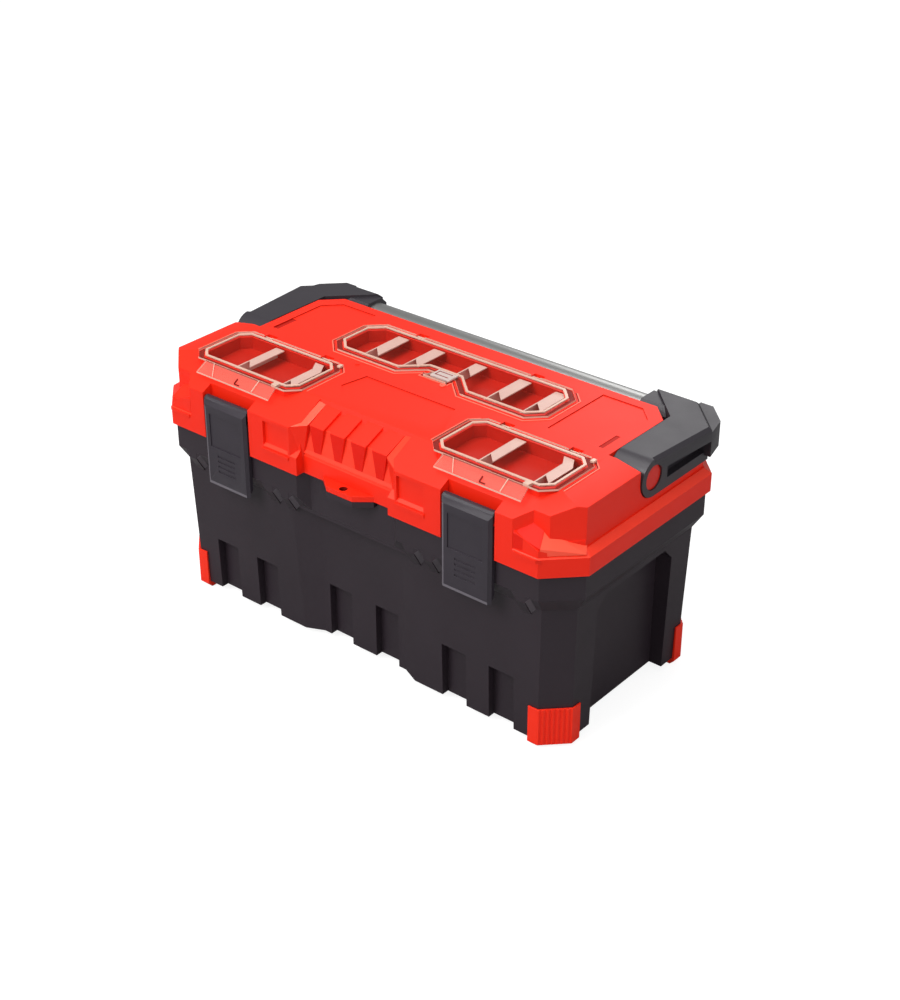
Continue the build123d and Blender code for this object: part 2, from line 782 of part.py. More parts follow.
def lid_hollow():
    """The space inside the lid."""
    skin = lid_wall
    low = rim_height - overlap
    lower = along_z(octagon(half_length - skin, half_depth - skin, lid_corner - skin / 3),
                    low, ledge_low - skin / 3)
    shelf = along_z(octagon(end_wall_half - skin, half_depth - ledge_run - skin, lid_corner - corner_step),
                    low, shelf_height - skin)
    deck = along_z(deck_outline(skin), shelf_height - skin - overlap, crown_height - skin)
    side_view = along_x([
        (-front_wall_half + skin, ledge_low), (-front_wall_half + skin, brow(-front_wall_half) - skin),
        (-crown_front + skin / 3, crown_height - skin), (crown_back - skin, crown_height - skin),
        (crown_back - skin, ledge_low),
    ], -end_wall_half, end_wall_half)
    shoulder = crown_height - shoulder_drop - skin
    front_view = along_y(mirrored([
        (end_wall_half, ledge_low), (end_wall_half, shoulder),
        (end_wall_half - shoulder_run, crown_height - skin),
    ]), -half_depth, half_depth)
    front_stop = block(-half_length, half_length, -half_depth, -front_wall_half + skin, ledge_low, crown_height)
    hollow = lower + (deck & side_view & front_view) + (shelf - front_stop) + boss_hollows()
    hollow -= middle_cut(skin)
    hollow -= both_sides(latch_bay(skin))
    for name in organisers:
        hollow -= organiser_prism(name, bin_inset - bin_wall, bin_floor - bin_floor_wall, crown_height)
        for x in lug_places(name):
            hollow -= lug_block(name, x)
    spigot = rod_x(cap_spigot + skin, deck_half - cap_seat - skin, deck_half, pivot_back, pivot_height)
    return hollow - both_sides(spigot) - clip_well(skin)


def lid_shell():
    shell = lid_form() + both_sides(boss())
    shell -= both_sides(latch_bay(0))
    shell -= middle_cut(0)
    for i in range(rib_count):
        shell += rib((i - (rib_count - 1) / 2) * rib_pitch)
    shell += both_sides(shoulder() + front_bars())
    shell -= crown_panels() + both_sides(crown_slot())
    shell += Pos(-stud_across, -stud_ahead, crown_height) * Cylinder(stud_radius, 2 * stud_height)
    for name in organisers:
        shell += organiser_prism(name, frame_inset, crown_height - frame_depth, crown_height)
    shell -= lid_hollow()
    for name in organisers:
        shell -= organiser_prism(name, bin_inset, bin_floor, crown_height + overlap)
        for x in lug_places(name):
            y, z = lug_axis(name)
            half = lug_length / 2 + lug_gap + lug_pin_seat
            shell -= lug_pocket(name, x)
            shell -= pin_seat(lug_pin, x - half, x + half, y, z)
    half = latch_width / 2 + bay_gap + latch_pin_seat
    shell -= both_sides(pin_seat(latch_pin, latch_place - half, latch_place + half, latch_axis_y, latch_axis_z))
    shell -= both_sides(rod_x(cap_spigot + fit, deck_half - cap_seat, half_length, pivot_back, pivot_height))
    shell += eye_plate(rim_height, rim_height + eye_thickness)
    shell += lid_knuckles()
    return shell - eye_bore() - clip_well(0)


# Latches

def latch(place):
    """Latch plate with side flanges, barrel at the top and hook near the bottom."""
    half = latch_width / 2
    low, high = place - half, place + half
    back = -latch_front + latch_skin
    neck = latch_axis_y + latch_barrel / 2
    flange_back = -collar_half_depth - hook_gap
    shoulder = latch_high - latch_bevel_drop
    plate = along_x([
        (-latch_front, latch_low), (-latch_front, shoulder), (-latch_front + latch_bevel, latch_high),
        (neck, latch_high), (neck, latch_axis_z), (back, shoulder - latch_bevel_drop), (back, latch_low),
    ], low, high)
    flange = along_x([
        (-latch_front, latch_low), (flange_back, latch_low + latch_bevel_drop),
        (flange_back, shoulder - latch_bevel_drop), (-latch_front, shoulder - latch_bevel_drop),
    ], low, high)
    flange -= block(low + latch_flange, high - latch_flange, -latch_front, 0, 0, latch_high)
    hook_top = collar_low - 2 * seat_gap
    hook = along_x([
        (back - overlap, hook_top), (flange_back, hook_top), (flange_back, hook_top - hook_height / 2),
        (back - overlap, hook_top - hook_height),
    ], place - hook_width / 2, place + hook_width / 2)
    barrel = rod_x(latch_barrel, low, high, latch_axis_y, latch_axis_z)
    outline = along_z([
        (low, 0), (low, -latch_front + latch_chamfer), (low + latch_chamfer, -latch_front),
        (high - latch_chamfer, -latch_front), (high, -latch_front + latch_chamfer), (high, 0),
    ], latch_low, latch_high)
    panel_top = shoulder - latch_panel_margin
    panel = block(low + latch_panel_margin, high - latch_panel_margin, -latch_front,
                  -latch_front + latch_panel_depth, panel_top - latch_panel_height, panel_top)
    body = ((plate + flange + hook + barrel) & outline) - panel
    for i in range(grip_count):
        top = panel_top - latch_panel_height - grip_drop - i * grip_pitch
        body -= block(low + 2 * latch_panel_margin, high - 2 * latch_panel_margin, -latch_front,
                      -latch_front + grip_depth, top - grip_width, top)
    return body - rod_x(latch_pin + fit, low, high, latch_axis_y, latch_axis_z)


def latch_axle(place):
    half = latch_width / 2 + bay_gap + latch_pin_seat - fit
    return rod_x(latch_pin, place - half, place + half, latch_axis_y, latch_axis_z)


# Handle

def tube_section(growth, x):
    face = Ellipse(tube_half_width + growth, tube_half_height + growth)
    return Plane((x, tube_back, tube_height), x_dir=(0, 1, 0), z_dir=(1, 0, 0)) * face


def arm_outline(outer, elbow, corner):
    """Right arm seen from above, with its outer edge at two places."""
    tip = arm_inner - (arm_back - arm_inner_elbow)
    return [
        (arm_inner, pivot_back), (arm_outer, pivot_back), (outer, elbow), (outer - corner, arm_back),
        (tip, arm_back), (arm_inner, arm_inner_elbow),
    ]


def handle_arm():
    """Right arm: round nose at the pivot, flat plate, cut-off rear corner and the tube's socket."""
    slot_top = arm_top - slot_top_drop
    upper = along_z(arm_outline(arm_wide, arm_elbow, arm_corner), slot_top, arm_top)
    lower_elbow = arm_elbow + arm_flare
    lower = along_z(arm_outline(arm_outer, lower_elbow, arm_back - lower_elbow), arm_low, slot_top)
    guard_x = arm_wide - guard_side
    guard_y = arm_elbow + guard_length
    guard_back = arm_back + guard_out
    guard_in = arm_wide - arm_corner - guard_end
    guard_top = arm_top - guard_drop
    guard = along_z([
        (arm_wide, arm_elbow), (guard_x, guard_y), (guard_x - (guard_back - guard_y), guard_back),
        (guard_in, guard_back), (guard_in, arm_back - guard_out), (arm_inner, arm_elbow),
    ], guard_top - guard_height, guard_top)
    nose = rod_x(nose_radius, arm_inner, arm_outer, pivot_back, pivot_height)
    wide = tube_half_width + socket_wall
    tall = tube_half_height + socket_wall
    socket = along_x([(tube_back + y, tube_height + z) for y, z in octagon(wide, tall, socket_corner)],
                     socket_tip, arm_inner)
    arm = upper + lower + guard + nose + socket
    arm -= extrude(tube_section(fit, socket_tip), amount=tube_insert, dir=(1, 0, 0))
    arm -= rod_x(cap_radius + fit, arm_inner, arm_wide, pivot_back, pivot_height)
    return arm - block(arm_outer - slot_deep, arm_wide, slot_front, arm_elbow, slot_top - slot_tall, slot_top)


def handle_tube():
    end = socket_tip + tube_insert - fit
    outer = extrude(tube_section(0, -end), amount=2 * end, dir=(1, 0, 0))
    return outer - extrude(tube_section(-tube_wall, -end), amount=2 * end, dir=(1, 0, 0))


def pivot_cap():
    """Stepped pin that carries the right arm: a head in the arm and a spigot in the lid."""
    shoulder = deck_half + 2 * seat_gap
    head = rod_x(cap_radius, shoulder, arm_outer - cap_sink, pivot_back, pivot_height)
    return head + rod_x(cap_spigot, deck_half - cap_seat + seat_gap, shoulder, pivot_back, pivot_height)


# Covers and dividers

def cover(name):
    """Clear lid of an organiser, with a raised bead, hinge lugs and its front tab or clip."""
    middle, x_half, y_low, y_high, corner, notch = organisers[name]
    plate = organiser_prism(name, 0, cover_low, cover_top)
    bead = organiser_prism(name, bin_inset - bead_width, cover_top, cover_top + bead_height)
    bead -= organiser_prism(name, bin_inset, cover_top, cover_top + bead_height)
    shape = plate + bead
    for x in lug_places(name):
        y, z = lug_axis(name)
        half = lug_length / 2
        shape += rod_x(lug_radius, x - half, x + half, y, z)
        shape += block(x - half, x + half, y_high - overlap, y, z, cover_top)
        shape -= rod_x(lug_pin + fit, x - half, x + half, y, z)
    if notch:
        tip = y_low + notch_depth
        back = tip - clip_reach
        shape += block(-clip_half, clip_half, back, tip + overlap, cover_low, cover_top)
        return shape + block(-clip_half, clip_half, back - tab_thickness, back, cover_top - clip_drop, cover_top)
    root, end = y_low + overlap, y_low - tab_reach
    low = cover_top - tab_fall
    side = along_x([
        (root, cover_top), (end, low), (end, low - tab_thickness), (root, cover_low),
    ], middle - tab_half, middle + tab_half)
    outline = Pos(middle, 0, 0) * along_z(mirrored([(tab_top_half, root), (tab_half, end)]), 0, 2 * crown_height)
    return shape + (side & outline)


def cover_pins(name):
    shapes = Part()
    y, z = lug_axis(name)
    half = lug_length / 2 + lug_gap + lug_pin_seat - fit
    for x in lug_places(name):
        shapes += rod_x(lug_pin, x - half, x + half, y, z)
    return shapes


def dividers(name, shares):
    """Upright plates across one organiser's bin."""
    middle, x_half = organisers[name][0:2]
    room = organiser_prism(name, bin_inset + divider_gap, bin_floor + divider_gap, divider_top)
    shapes = Part()
    for share in shares:
        x = middle + share * x_half
        shapes += room & block(x - divider_thickness / 2, x + divider_thickness / 2,
                               -half_depth, half_depth, bin_floor, divider_top)
    return shapes


# Lift-out tray

def flare_half_length(z):
    """Half length of the tub's inside on its slope, at one height."""
    run = body_inset - collar_inset
    return body_half_length - tub_wall + (z - flare_low - tub_wall) * run / flare_height


def tray():
    top = tray_rim + tray_flange
    wall = tray_wall
    outer = along_z(octagon(tray_half_length, tray_half_depth, tray_corner), tray_floor, top)
    inner = along_z(octagon(tray_half_length - wall, tray_half_depth - wall, tray_corner), tray_floor + wall, top)
    low_end = flare_half_length(tray_rim) - seat_gap
    high_end = flare_half_length(top) - seat_gap
    ends = along_y(mirrored([(low_end, tray_rim), (high_end, top)]),
                   -tray_half_depth + tray_corner, tray_half_depth - tray_corner)
    spine = block(-tray_half_length + overlap, tray_half_length - overlap, -tray_spine / 2, tray_spine / 2,
                  tray_floor, tray_rim)
    handle = along_y(mirrored([
        (tray_handle_half + tray_handle_splay, tray_rim - overlap), (tray_handle_half, tray_handle_top),
    ]), -tray_spine, tray_spine)
    grip = tray_handle_half - tray_handle_side
    window = along_y(mirrored([(grip, tray_rim), (grip, tray_handle_top - tray_handle_bar)]),
                     -tray_spine, tray_spine)
    return outer + ends - inner + spine + handle - window


right_foot = foot()
right_arm = handle_arm()
right_cap = pivot_cap()
pieces = {
    "base_tub": tub(),
    "lid_hinge_pins": hinge_pins(),
    "foot_front_right": right_foot,
    "foot_front_left": mirror(right_foot, about=Plane.YZ),
    "foot_rear_right": mirror(right_foot, about=Plane.XZ),
    "foot_rear_left": mirror(mirror(right_foot, about=Plane.XZ), about=Plane.YZ),
    "lift_out_tray": tray(),
    "lid_shell": lid_shell(),
    "latch_left": latch(-latch_place),
    "latch_right": latch(latch_place),
    "latch_pin_left": latch_axle(-latch_place),
    "latch_pin_right": latch_axle(latch_place),
    "handle_arm_right": right_arm,
    "handle_arm_left": mirror(right_arm, about=Plane.YZ),
    "handle_tube": handle_tube(),
    "pivot_cap_right": right_cap,
    "pivot_cap_left": mirror(right_cap, about=Plane.YZ),
    "dividers_rear": dividers("rear", rear_dividers),
    "dividers_front_left": dividers("front_left", front_dividers),
    "dividers_front_right": dividers("front_right", front_dividers),
}
for name in organisers:
    pieces["cover_" + name] = cover(name)
    pieces["cover_pins_" + name] = cover_pins(name)

for name, shape in pieces.items():
    export_step(shape, "parts/" + name + ".step")
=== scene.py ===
import bpy
import math
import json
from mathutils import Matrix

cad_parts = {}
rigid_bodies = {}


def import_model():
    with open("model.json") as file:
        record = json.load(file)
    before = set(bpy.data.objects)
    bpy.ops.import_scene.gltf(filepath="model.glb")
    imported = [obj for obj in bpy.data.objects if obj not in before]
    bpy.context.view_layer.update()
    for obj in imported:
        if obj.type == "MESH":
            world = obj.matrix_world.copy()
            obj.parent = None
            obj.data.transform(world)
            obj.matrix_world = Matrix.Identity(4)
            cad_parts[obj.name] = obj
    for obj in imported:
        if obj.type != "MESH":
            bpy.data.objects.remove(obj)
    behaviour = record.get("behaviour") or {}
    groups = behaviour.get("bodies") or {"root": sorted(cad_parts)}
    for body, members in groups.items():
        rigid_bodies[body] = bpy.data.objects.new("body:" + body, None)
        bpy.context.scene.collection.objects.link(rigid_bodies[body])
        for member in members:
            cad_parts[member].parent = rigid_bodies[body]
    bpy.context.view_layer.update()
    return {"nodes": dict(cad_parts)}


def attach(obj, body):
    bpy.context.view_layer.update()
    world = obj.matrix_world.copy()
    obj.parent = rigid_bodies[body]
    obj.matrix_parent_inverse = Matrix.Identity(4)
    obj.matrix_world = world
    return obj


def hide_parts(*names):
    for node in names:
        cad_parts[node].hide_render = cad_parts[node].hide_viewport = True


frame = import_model()
mm = 0.001


# Selecting and shaping, as by hand. Sizes in the dictionaries are in mm, angles in degrees.

shapeLook = {
    "samePoint": 0.01,  # points nearer than this count as one
    "flatWithin": 0.6,  # faces that meet flatter than this are joined
    "roundFrom": 28, "smoothTo": 32,  # which edges a mould rounds, and which it leaves smooth
    "radiusSteps": 2, "flatWeight": 90}
facing = {"straight": 0.9, "mostly": 0.6, "partly": 0.3}  # how far a face turns towards an axis


def clearSelection():
    for item in bpy.context.view_layer.objects:
        item.select_set(False)


def pickOnly(piece):
    clearSelection()
    piece.select_set(True)
    bpy.context.view_layer.objects.active = piece


def openEdit(piece, mode="VERT"):
    pickOnly(piece)
    bpy.ops.object.mode_set(mode="EDIT")
    bpy.ops.mesh.select_mode(type=mode)


def openWhole(piece, mode="VERT"):
    # edit mode with everything selected
    openEdit(piece, mode)
    bpy.ops.mesh.select_all(action="SELECT")


def closeEdit():
    bpy.ops.object.mode_set(mode="OBJECT")


def chooseFaces(piece, test):
    # selects the faces whose centre and normal pass the test, and goes to edit mode
    openEdit(piece, "FACE")
    bpy.ops.mesh.select_all(action="DESELECT")
    closeEdit()
    for face in piece.data.polygons:
        face.select = bool(test(face.center, face.normal))
    bpy.ops.object.mode_set(mode="EDIT")


def chooseEdges(piece, test):
    # selects the edges whose two ends pass the test, and goes to edit mode
    openEdit(piece, "EDGE")
    bpy.ops.mesh.select_all(action="DESELECT")
    closeEdit()
    points = piece.data.vertices
    for edge in piece.data.edges:
        a, b = edge.vertices
        edge.select = bool(test(points[a].co, points[b].co))
    bpy.ops.object.mode_set(mode="EDIT")


def paintFaces(piece, material, test):
    # gives the faces that pass the test their own material
    piece.data.materials.append(material)
    chooseFaces(piece, test)
    piece.active_material_index = len(piece.data.materials) - 1
    bpy.ops.object.material_slot_assign()
    closeEdit()


def bakePlace(piece):
    # leaves the object at the origin, with its place in its mesh
    pickOnly(piece)
    bpy.ops.object.transform_apply(location=True, rotation=True, scale=True)


def finishEdges(piece, width):
    # rounds the sharp edges as a mould does, then smooths by angle
    pickOnly(piece)
    soft = piece.modifiers.new("mouldRadius", "BEVEL")
    soft.width = width * mm
    soft.segments = shapeLook["radiusSteps"]
    soft.limit_method = "ANGLE"
    soft.angle_limit = math.radians(shapeLook["roundFrom"])
    soft.use_clamp_overlap = True
    soft.harden_normals = False
    bpy.ops.object.modifier_apply(modifier=soft.name)
    bpy.ops.object.shade_smooth_by_angle(angle=math.radians(shapeLook["smoothTo"]))
    flat = piece.modifiers.new("flatFaces", "WEIGHTED_NORMAL")  # keeps the shine of broad faces even
    flat.weight = shapeLook["flatWeight"]
    flat.keep_sharp = True
    bpy.ops.object.modifier_apply(modifier=flat.name)


def dress(piece, material):
    piece.data.materials.clear()
    piece.data.materials.append(material)


def settle(piece, body, slotName, material, *stands):
    # gives the piece its finish, lets it ride, and hides the frame pieces that it stands for
    dress(piece, material)
    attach(piece, body)
    if stands:
        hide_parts(*stands)
    return piece


def copyOfNode(nodeName, pieceName):
    # a merged copy of a frame piece, ready to be softened
    source = frame["nodes"][nodeName]
    piece = source.copy()
    piece.data = source.data.copy()
    piece.name = pieceName
    piece.parent = None
    for key in list(piece.keys()):
        del piece[key]
    bpy.context.scene.collection.objects.link(piece)
    piece.hide_viewport = False
    piece.hide_render = False
    piece.hide_set(False)
    openWhole(piece)
    bpy.ops.mesh.remove_doubles(threshold=shapeLook["samePoint"] * mm)
    bpy.ops.mesh.dissolve_limited(
        angle_limit=math.radians(shapeLook["flatWithin"]), delimit={"NORMAL"})
    closeEdit()
    return piece


def roundBar(piece, radius):
    openWhole(piece, "EDGE")
    bpy.ops.mesh.bevel(offset=radius * mm, segments=shapeLook["radiusSteps"], affect="EDGES")
    closeEdit()


def addBar(name, low, high, radius=0):
    # a small block between two corners, its edges rounded if it has a radius
    clearSelection()
    middle = [(a + b) / 2 * mm for a, b in zip(low, high)]
    bpy.ops.mesh.primitive_cube_add(size=1, location=middle)
    piece = bpy.context.object
    piece.name = name
    piece.scale = [(b - a) * mm for a, b in zip(low, high)]
    bakePlace(piece)
    if radius:
        roundBar(piece, radius)
    return piece


def shiftPoints(piece, test, move):
    # moves the edges whose ends pass the test
    chooseEdges(piece, lambda a, b: test(a) and test(b))
    bpy.ops.transform.translate(value=[v * mm for v in move])
    closeEdit()


def cornerBlock(name, near, far, radius):
    # a block between two faces, each given by its four corners in the same order
    targets = near + far
    low = [min(corner[i] for corner in targets) for i in range(3)]
    high = [max(corner[i] for corner in targets) for i in range(3)]
    piece = addBar(name, low, high)
    order = [(0, 0, 0), (0, 1, 0), (0, 1, 1), (0, 0, 1), (1, 0, 0), (1, 1, 0), (1, 1, 1), (1, 0, 1)]
    starts = [[(low, high)[pick][axis] for axis, pick in enumerate(picks)] for picks in order]
    homes = {}
    for number, start in enumerate(starts):
        for point in piece.data.vertices:
            if all(abs(point.co[i] / mm - start[i]) < shapeLook["samePoint"] for i in range(3)):
                homes[number] = point.index
    for number, home in homes.items():
        openEdit(piece)
        bpy.ops.mesh.select_all(action="DESELECT")
        closeEdit()
        piece.data.vertices[home].select = True
        bpy.ops.object.mode_set(mode="EDIT")
        move = [(t - s) * mm for t, s in zip(targets[number], starts[number])]
        bpy.ops.transform.translate(value=move)
        closeEdit()
    openWhole(piece)
    bpy.ops.mesh.normals_make_consistent(inside=False)
    closeEdit()
    roundBar(piece, radius)
    return piece


def joinAll(name, parts):
    # joins small parts into one piece
    pickOnly(parts[0])
    for part in parts[1:]:
        part.select_set(True)
    if len(parts) > 1:
        bpy.ops.object.join()
    piece = bpy.context.object
    piece.name = name
    piece.data.name = name
    return piece


def closeTo(value, goal, reach=0.1):
    return abs(value - goal) < reach


def inBox(point, low, high):
    # is a point of either side inside a box given for the right side?
    place = (abs(point.x) / mm, point.y / mm, point.z / mm)
    return all(a < value < b for a, value, b in zip(low, place, high))


def sideName(value):
    return "Left" if value < 0 else "Right"


# Materials

def hexColour(code):
    # sRGB hex to the linear values that Blender works in
    values = []
    for place in (0, 2, 4):
        part = int(code[place:place + 2], 16) / 255
        values.append(part / 12.92 if part <= 0.04045 else ((part + 0.055) / 1.055) ** 2.4)
    return (*values, 1.0)


def addNode(tree, kind, settings=None, links=None):
    # one node, with its settings and what feeds its sockets
    node = tree.nodes.new(kind)
    for name, value in (settings or {}).items():
        if name in node.inputs:
            node.inputs[name].default_value = value
        else:
            setattr(node, name, value)
    for name, output in (links or {}).items():
        tree.links.new(output, node.inputs[name])
    return node


def newMaterial(name):
    # an empty material, its nodes, and the coordinates that its patterns use
    material = bpy.data.materials.new(name)
    material.use_nodes = True
    tree = material.node_tree
    tree.nodes.clear()
    return material, tree, addNode(tree, "ShaderNodeTexCoord").outputs["Object"]


def toneBetween(tree, look, factor):
    # a colour that drifts between the look's two tones
    tone = addNode(tree, "ShaderNodeMix", {"data_type": "RGBA"})
    tone.inputs[6].default_value = hexColour(look["colour"])
    tone.inputs[7].default_value = hexColour(look["drifted"])
    tree.links.new(factor, tone.inputs[0])
    return tone.outputs[2]


def sheenBetween(tree, lowest, highest, factor):
    # a roughness that drifts between two values
    return addNode(tree, "ShaderNodeMapRange", {"To Min": lowest, "To Max": highest},
                   {"Value": factor}).outputs["Result"]


def reliefOf(tree, strength, depth, height):
    # fine relief, its depth in mm
    return addNode(tree, "ShaderNodeBump", {"Strength": strength, "Distance": depth * mm},
                   {"Height": height}).outputs["Normal"]


def mouldedPlastic(name, look):
    # moulded plastic: satin sheen, fine spark-eroded grain, and a slow drift of tone
    material, tree, place = newMaterial(name)
    drift = addNode(tree, "ShaderNodeTexNoise",
                    {"Scale": 1000 / look["driftSize"], "Detail": 3.0, "Roughness": 0.5},
                    {"Vector": place}).outputs["Fac"]
    grain = addNode(tree, "ShaderNodeTexNoise",
                    {"Scale": 1000 / look["grainSize"], "Detail": 2.0, "Roughness": 0.6},
                    {"Vector": place}).outputs["Fac"]
    sheen = sheenBetween(tree, look["roughness"] - look["roughSpread"],
                         look["roughness"] + look["roughSpread"], drift)
    shader = addNode(tree, "ShaderNodeBsdfPrincipled",
                     {"IOR": look["ior"], "Metallic": 0.0, "Specular IOR Level": look["specular"]},
                     {"Base Color": toneBetween(tree, look, drift), "Roughness": sheen,
                      "Normal": reliefOf(tree, look["grainStrength"], look["grainDepth"], grain)})
    addNode(tree, "ShaderNodeOutputMaterial", None, {"Surface": shader.outputs["BSDF"]})
    return material


def brushedMetal(name, look):
    # drawn and anodised metal: fine lines along the length, soft stretched highlights
    material, tree, place = newMaterial(name)
    along, across = 1000 / look["lineLength"], 1000 / look["lineGap"]
    lines = addNode(tree, "ShaderNodeMapping", {"Scale": (along, across, across)}, {"Vector": place})
    streaks = addNode(tree, "ShaderNodeTexNoise", {"Scale": 1.0, "Detail": 4.0, "Roughness": 0.65},
                      {"Vector": lines.outputs["Vector"]}).outputs["Fac"]
    sheen = sheenBetween(tree, look["roughness"] - look["roughSpread"],
                         look["roughness"] + look["roughSpread"], streaks)
    shader = addNode(tree, "ShaderNodeBsdfPrincipled", {"Metallic": 1.0},
                     {"Base Color": toneBetween(tree, look, streaks), "Roughness": sheen,
                      "Normal": reliefOf(tree, look["grainStrength"], look["grainDepth"], streaks)})
    addNode(tree, "ShaderNodeOutputMaterial", None, {"Surface": shader.outputs["BSDF"]})
    return material


def clearPlastic(name, look):
    # moulded clear sheet: see-through, with a gloss that a faint waviness breaks up
    material, tree, place = newMaterial(name)
    waves = addNode(tree, "ShaderNodeTexNoise",
                    {"Scale": 1000 / look["waveSize"], "Detail": 2.0, "Roughness": 0.5},
                    {"Vector": place}).outputs["Fac"]
    sheen = sheenBetween(tree, look["roughness"], look["roughness"] + look["roughSpread"], waves)
    shader = addNode(tree, "ShaderNodeBsdfPrincipled",
                     {"Base Color": hexColour(look["colour"]), "IOR": look["ior"],
                      "Alpha": look["solidity"], "Specular IOR Level": look["specular"]},
                     {"Roughness": sheen,
                      "Normal": reliefOf(tree, look["waveStrength"], look["waveDepth"], waves)})
    addNode(tree, "ShaderNodeOutputMaterial", None, {"Surface": shader.outputs["BSDF"]})
    return material


# moulded polypropylene, satin: the lid's bright red, a touch warmer where it drifts
lidPolypropylene = mouldedPlastic("lidPolypropylene", {
    "colour": "F5280E", "drifted": "EE2209", "driftSize": 90, "ior": 1.49, "specular": 0.3,
    "roughness": 0.42, "roughSpread": 0.05, "grainSize": 0.9, "grainStrength": 0.12,
    "grainDepth": 0.1})
# painted shade: the lid's red, darkened in the bins where less light reaches
binShadeRed = mouldedPlastic("binShadeRed", {
    "colour": "BE1A0B", "drifted": "B01608", "driftSize": 18, "ior": 1.49, "specular": 0.25,
    "roughness": 0.5, "roughSpread": 0.05, "grainSize": 1.4, "grainStrength": 0.2,
    "grainDepth": 0.12})
# painted shade: a deep red where shade falls on the lid, under the covers' edges, in the eye hole, in
# the rear catch's slot, under the tabs and in thin shadow lines
paintedShadeRed = mouldedPlastic("paintedShadeRed", {
    "colour": "8A1409", "drifted": "780F06", "driftSize": 12, "ior": 1.49, "specular": 0.25,
    "roughness": 0.5, "roughSpread": 0.05, "grainSize": 1.2, "grainStrength": 0.15,
    "grainDepth": 0.1})
# the same plastic in the corner guards, a touch brighter
guardPolypropylene = mouldedPlastic("guardPolypropylene", {
    "colour": "FF3216", "drifted": "F8280F", "driftSize": 30, "ior": 1.49, "specular": 0.3,
    "roughness": 0.44, "roughSpread": 0.05, "grainSize": 0.9, "grainStrength": 0.18,
    "grainDepth": 0.12})
# carbon-filled polypropylene, spark-eroded texture: the tub's warm grey-black
tubPolypropylene = mouldedPlastic("tubPolypropylene", {
    "colour": "31282F", "drifted": "2A2228", "driftSize": 70, "ior": 1.49, "specular": 0.35,
    "roughness": 0.46, "roughSpread": 0.06, "grainSize": 1.1, "grainStrength": 0.3,
    "grainDepth": 0.15})
# painted light: the tub's plastic made paler on the downward faces of the gussets' flanks
litFlankTub = mouldedPlastic("litFlankTub", {
    "colour": "544C53", "drifted": "4A4349", "driftSize": 20, "ior": 1.49, "specular": 0.4,
    "roughness": 0.42, "roughSpread": 0.05, "grainSize": 1.1, "grainStrength": 0.25,
    "grainDepth": 0.15})
# the tray's smoother black
trayPolypropylene = mouldedPlastic("trayPolypropylene", {
    "colour": "272426", "drifted": "201E1F", "driftSize": 60, "ior": 1.49, "specular": 0.4,
    "roughness": 0.45, "roughSpread": 0.05, "grainSize": 1.1, "grainStrength": 0.2,
    "grainDepth": 0.12})
# moulded nylon, satin, slightly cooler than the tub
latchNylon = mouldedPlastic("latchNylon", {
    "colour": "352F37", "drifted": "2E2930", "driftSize": 25, "ior": 1.53, "specular": 0.35,
    "roughness": 0.4, "roughSpread": 0.05, "grainSize": 0.9, "grainStrength": 0.22,
    "grainDepth": 0.12})
# glass-filled nylon of the arms, fine texture
armNylon = mouldedPlastic("armNylon", {
    "colour": "332F35", "drifted": "2C282E", "driftSize": 35, "ior": 1.53, "specular": 0.6,
    "roughness": 0.42, "roughSpread": 0.06, "grainSize": 1.0, "grainStrength": 0.28,
    "grainDepth": 0.15})
# polished red cap
capPolypropylene = mouldedPlastic("capPolypropylene", {
    "colour": "E2200C", "drifted": "D01A08", "driftSize": 12, "ior": 1.49, "specular": 0.4,
    "roughness": 0.3, "roughSpread": 0.04, "grainSize": 0.8, "grainStrength": 0.08,
    "grainDepth": 0.1})
# the dividers, painted nearly white: a painted reflection of the bright surroundings on their faces and
# tops
dividerPaintedReflection = mouldedPlastic("dividerPaintedReflection", {
    "colour": "D2AFA3", "drifted": "C6A094", "driftSize": 20, "ior": 1.59, "specular": 0.5,
    "roughness": 0.3, "roughSpread": 0.05, "grainSize": 2.0, "grainStrength": 0.08,
    "grainDepth": 0.1})
# drawn, brushed and anodised aluminium tube
brushedAluminium = brushedMetal("brushedAluminium", {
    "colour": "CFCFCD", "drifted": "B2B2B1", "lineLength": 60, "lineGap": 0.9, "roughness": 0.36,
    "roughSpread": 0.08, "grainStrength": 0.25, "grainDepth": 0.08})
# zinc-plated steel of the pins
zincSteel = brushedMetal("zincSteel", {
    "colour": "BDBDBA", "drifted": "A3A3A0", "lineLength": 8, "lineGap": 0.6, "roughness": 0.32,
    "roughSpread": 0.06, "grainStrength": 0.15, "grainDepth": 0.05})
# painted highlight: a paler red on the organisers' low lips and the catch's stud
highlightRed = mouldedPlastic("highlightRed", {
    "colour": "FF7A66", "drifted": "F8644E", "driftSize": 25, "ior": 1.49, "specular": 0.35,
    "roughness": 0.4, "roughSpread": 0.05, "grainSize": 0.9, "grainStrength": 0.12,
    "grainDepth": 0.1})
# painted shade: a darker red on the small walls of the crown's low steps and the floors of its slots
stepShadeRed = mouldedPlastic("stepShadeRed", {
    "colour": "B81A0B", "drifted": "A81507", "driftSize": 14, "ior": 1.49, "specular": 0.2,
    "roughness": 0.52, "roughSpread": 0.05, "grainSize": 1.2, "grainStrength": 0.2,
    "grainDepth": 0.12})
# painted light: a paler red on the lid's front facets, the ledge and the field between the ribs
litFacetRed = mouldedPlastic("litFacetRed", {
    "colour": "FF4028", "drifted": "FA361E", "driftSize": 30, "ior": 1.49, "specular": 0.35,
    "roughness": 0.36, "roughSpread": 0.05, "grainSize": 0.8, "grainStrength": 0.06,
    "grainDepth": 0.1})
# painted highlight: the brightest red, on the left boss's slanted facet and the right corner's outer
# facet
highlightFacetRed = mouldedPlastic("highlightFacetRed", {
    "colour": "FF5A42", "drifted": "FA5039", "driftSize": 30, "ior": 1.49, "specular": 0.35,
    "roughness": 0.34, "roughSpread": 0.05, "grainSize": 0.8, "grainStrength": 0.06,
    "grainDepth": 0.1})
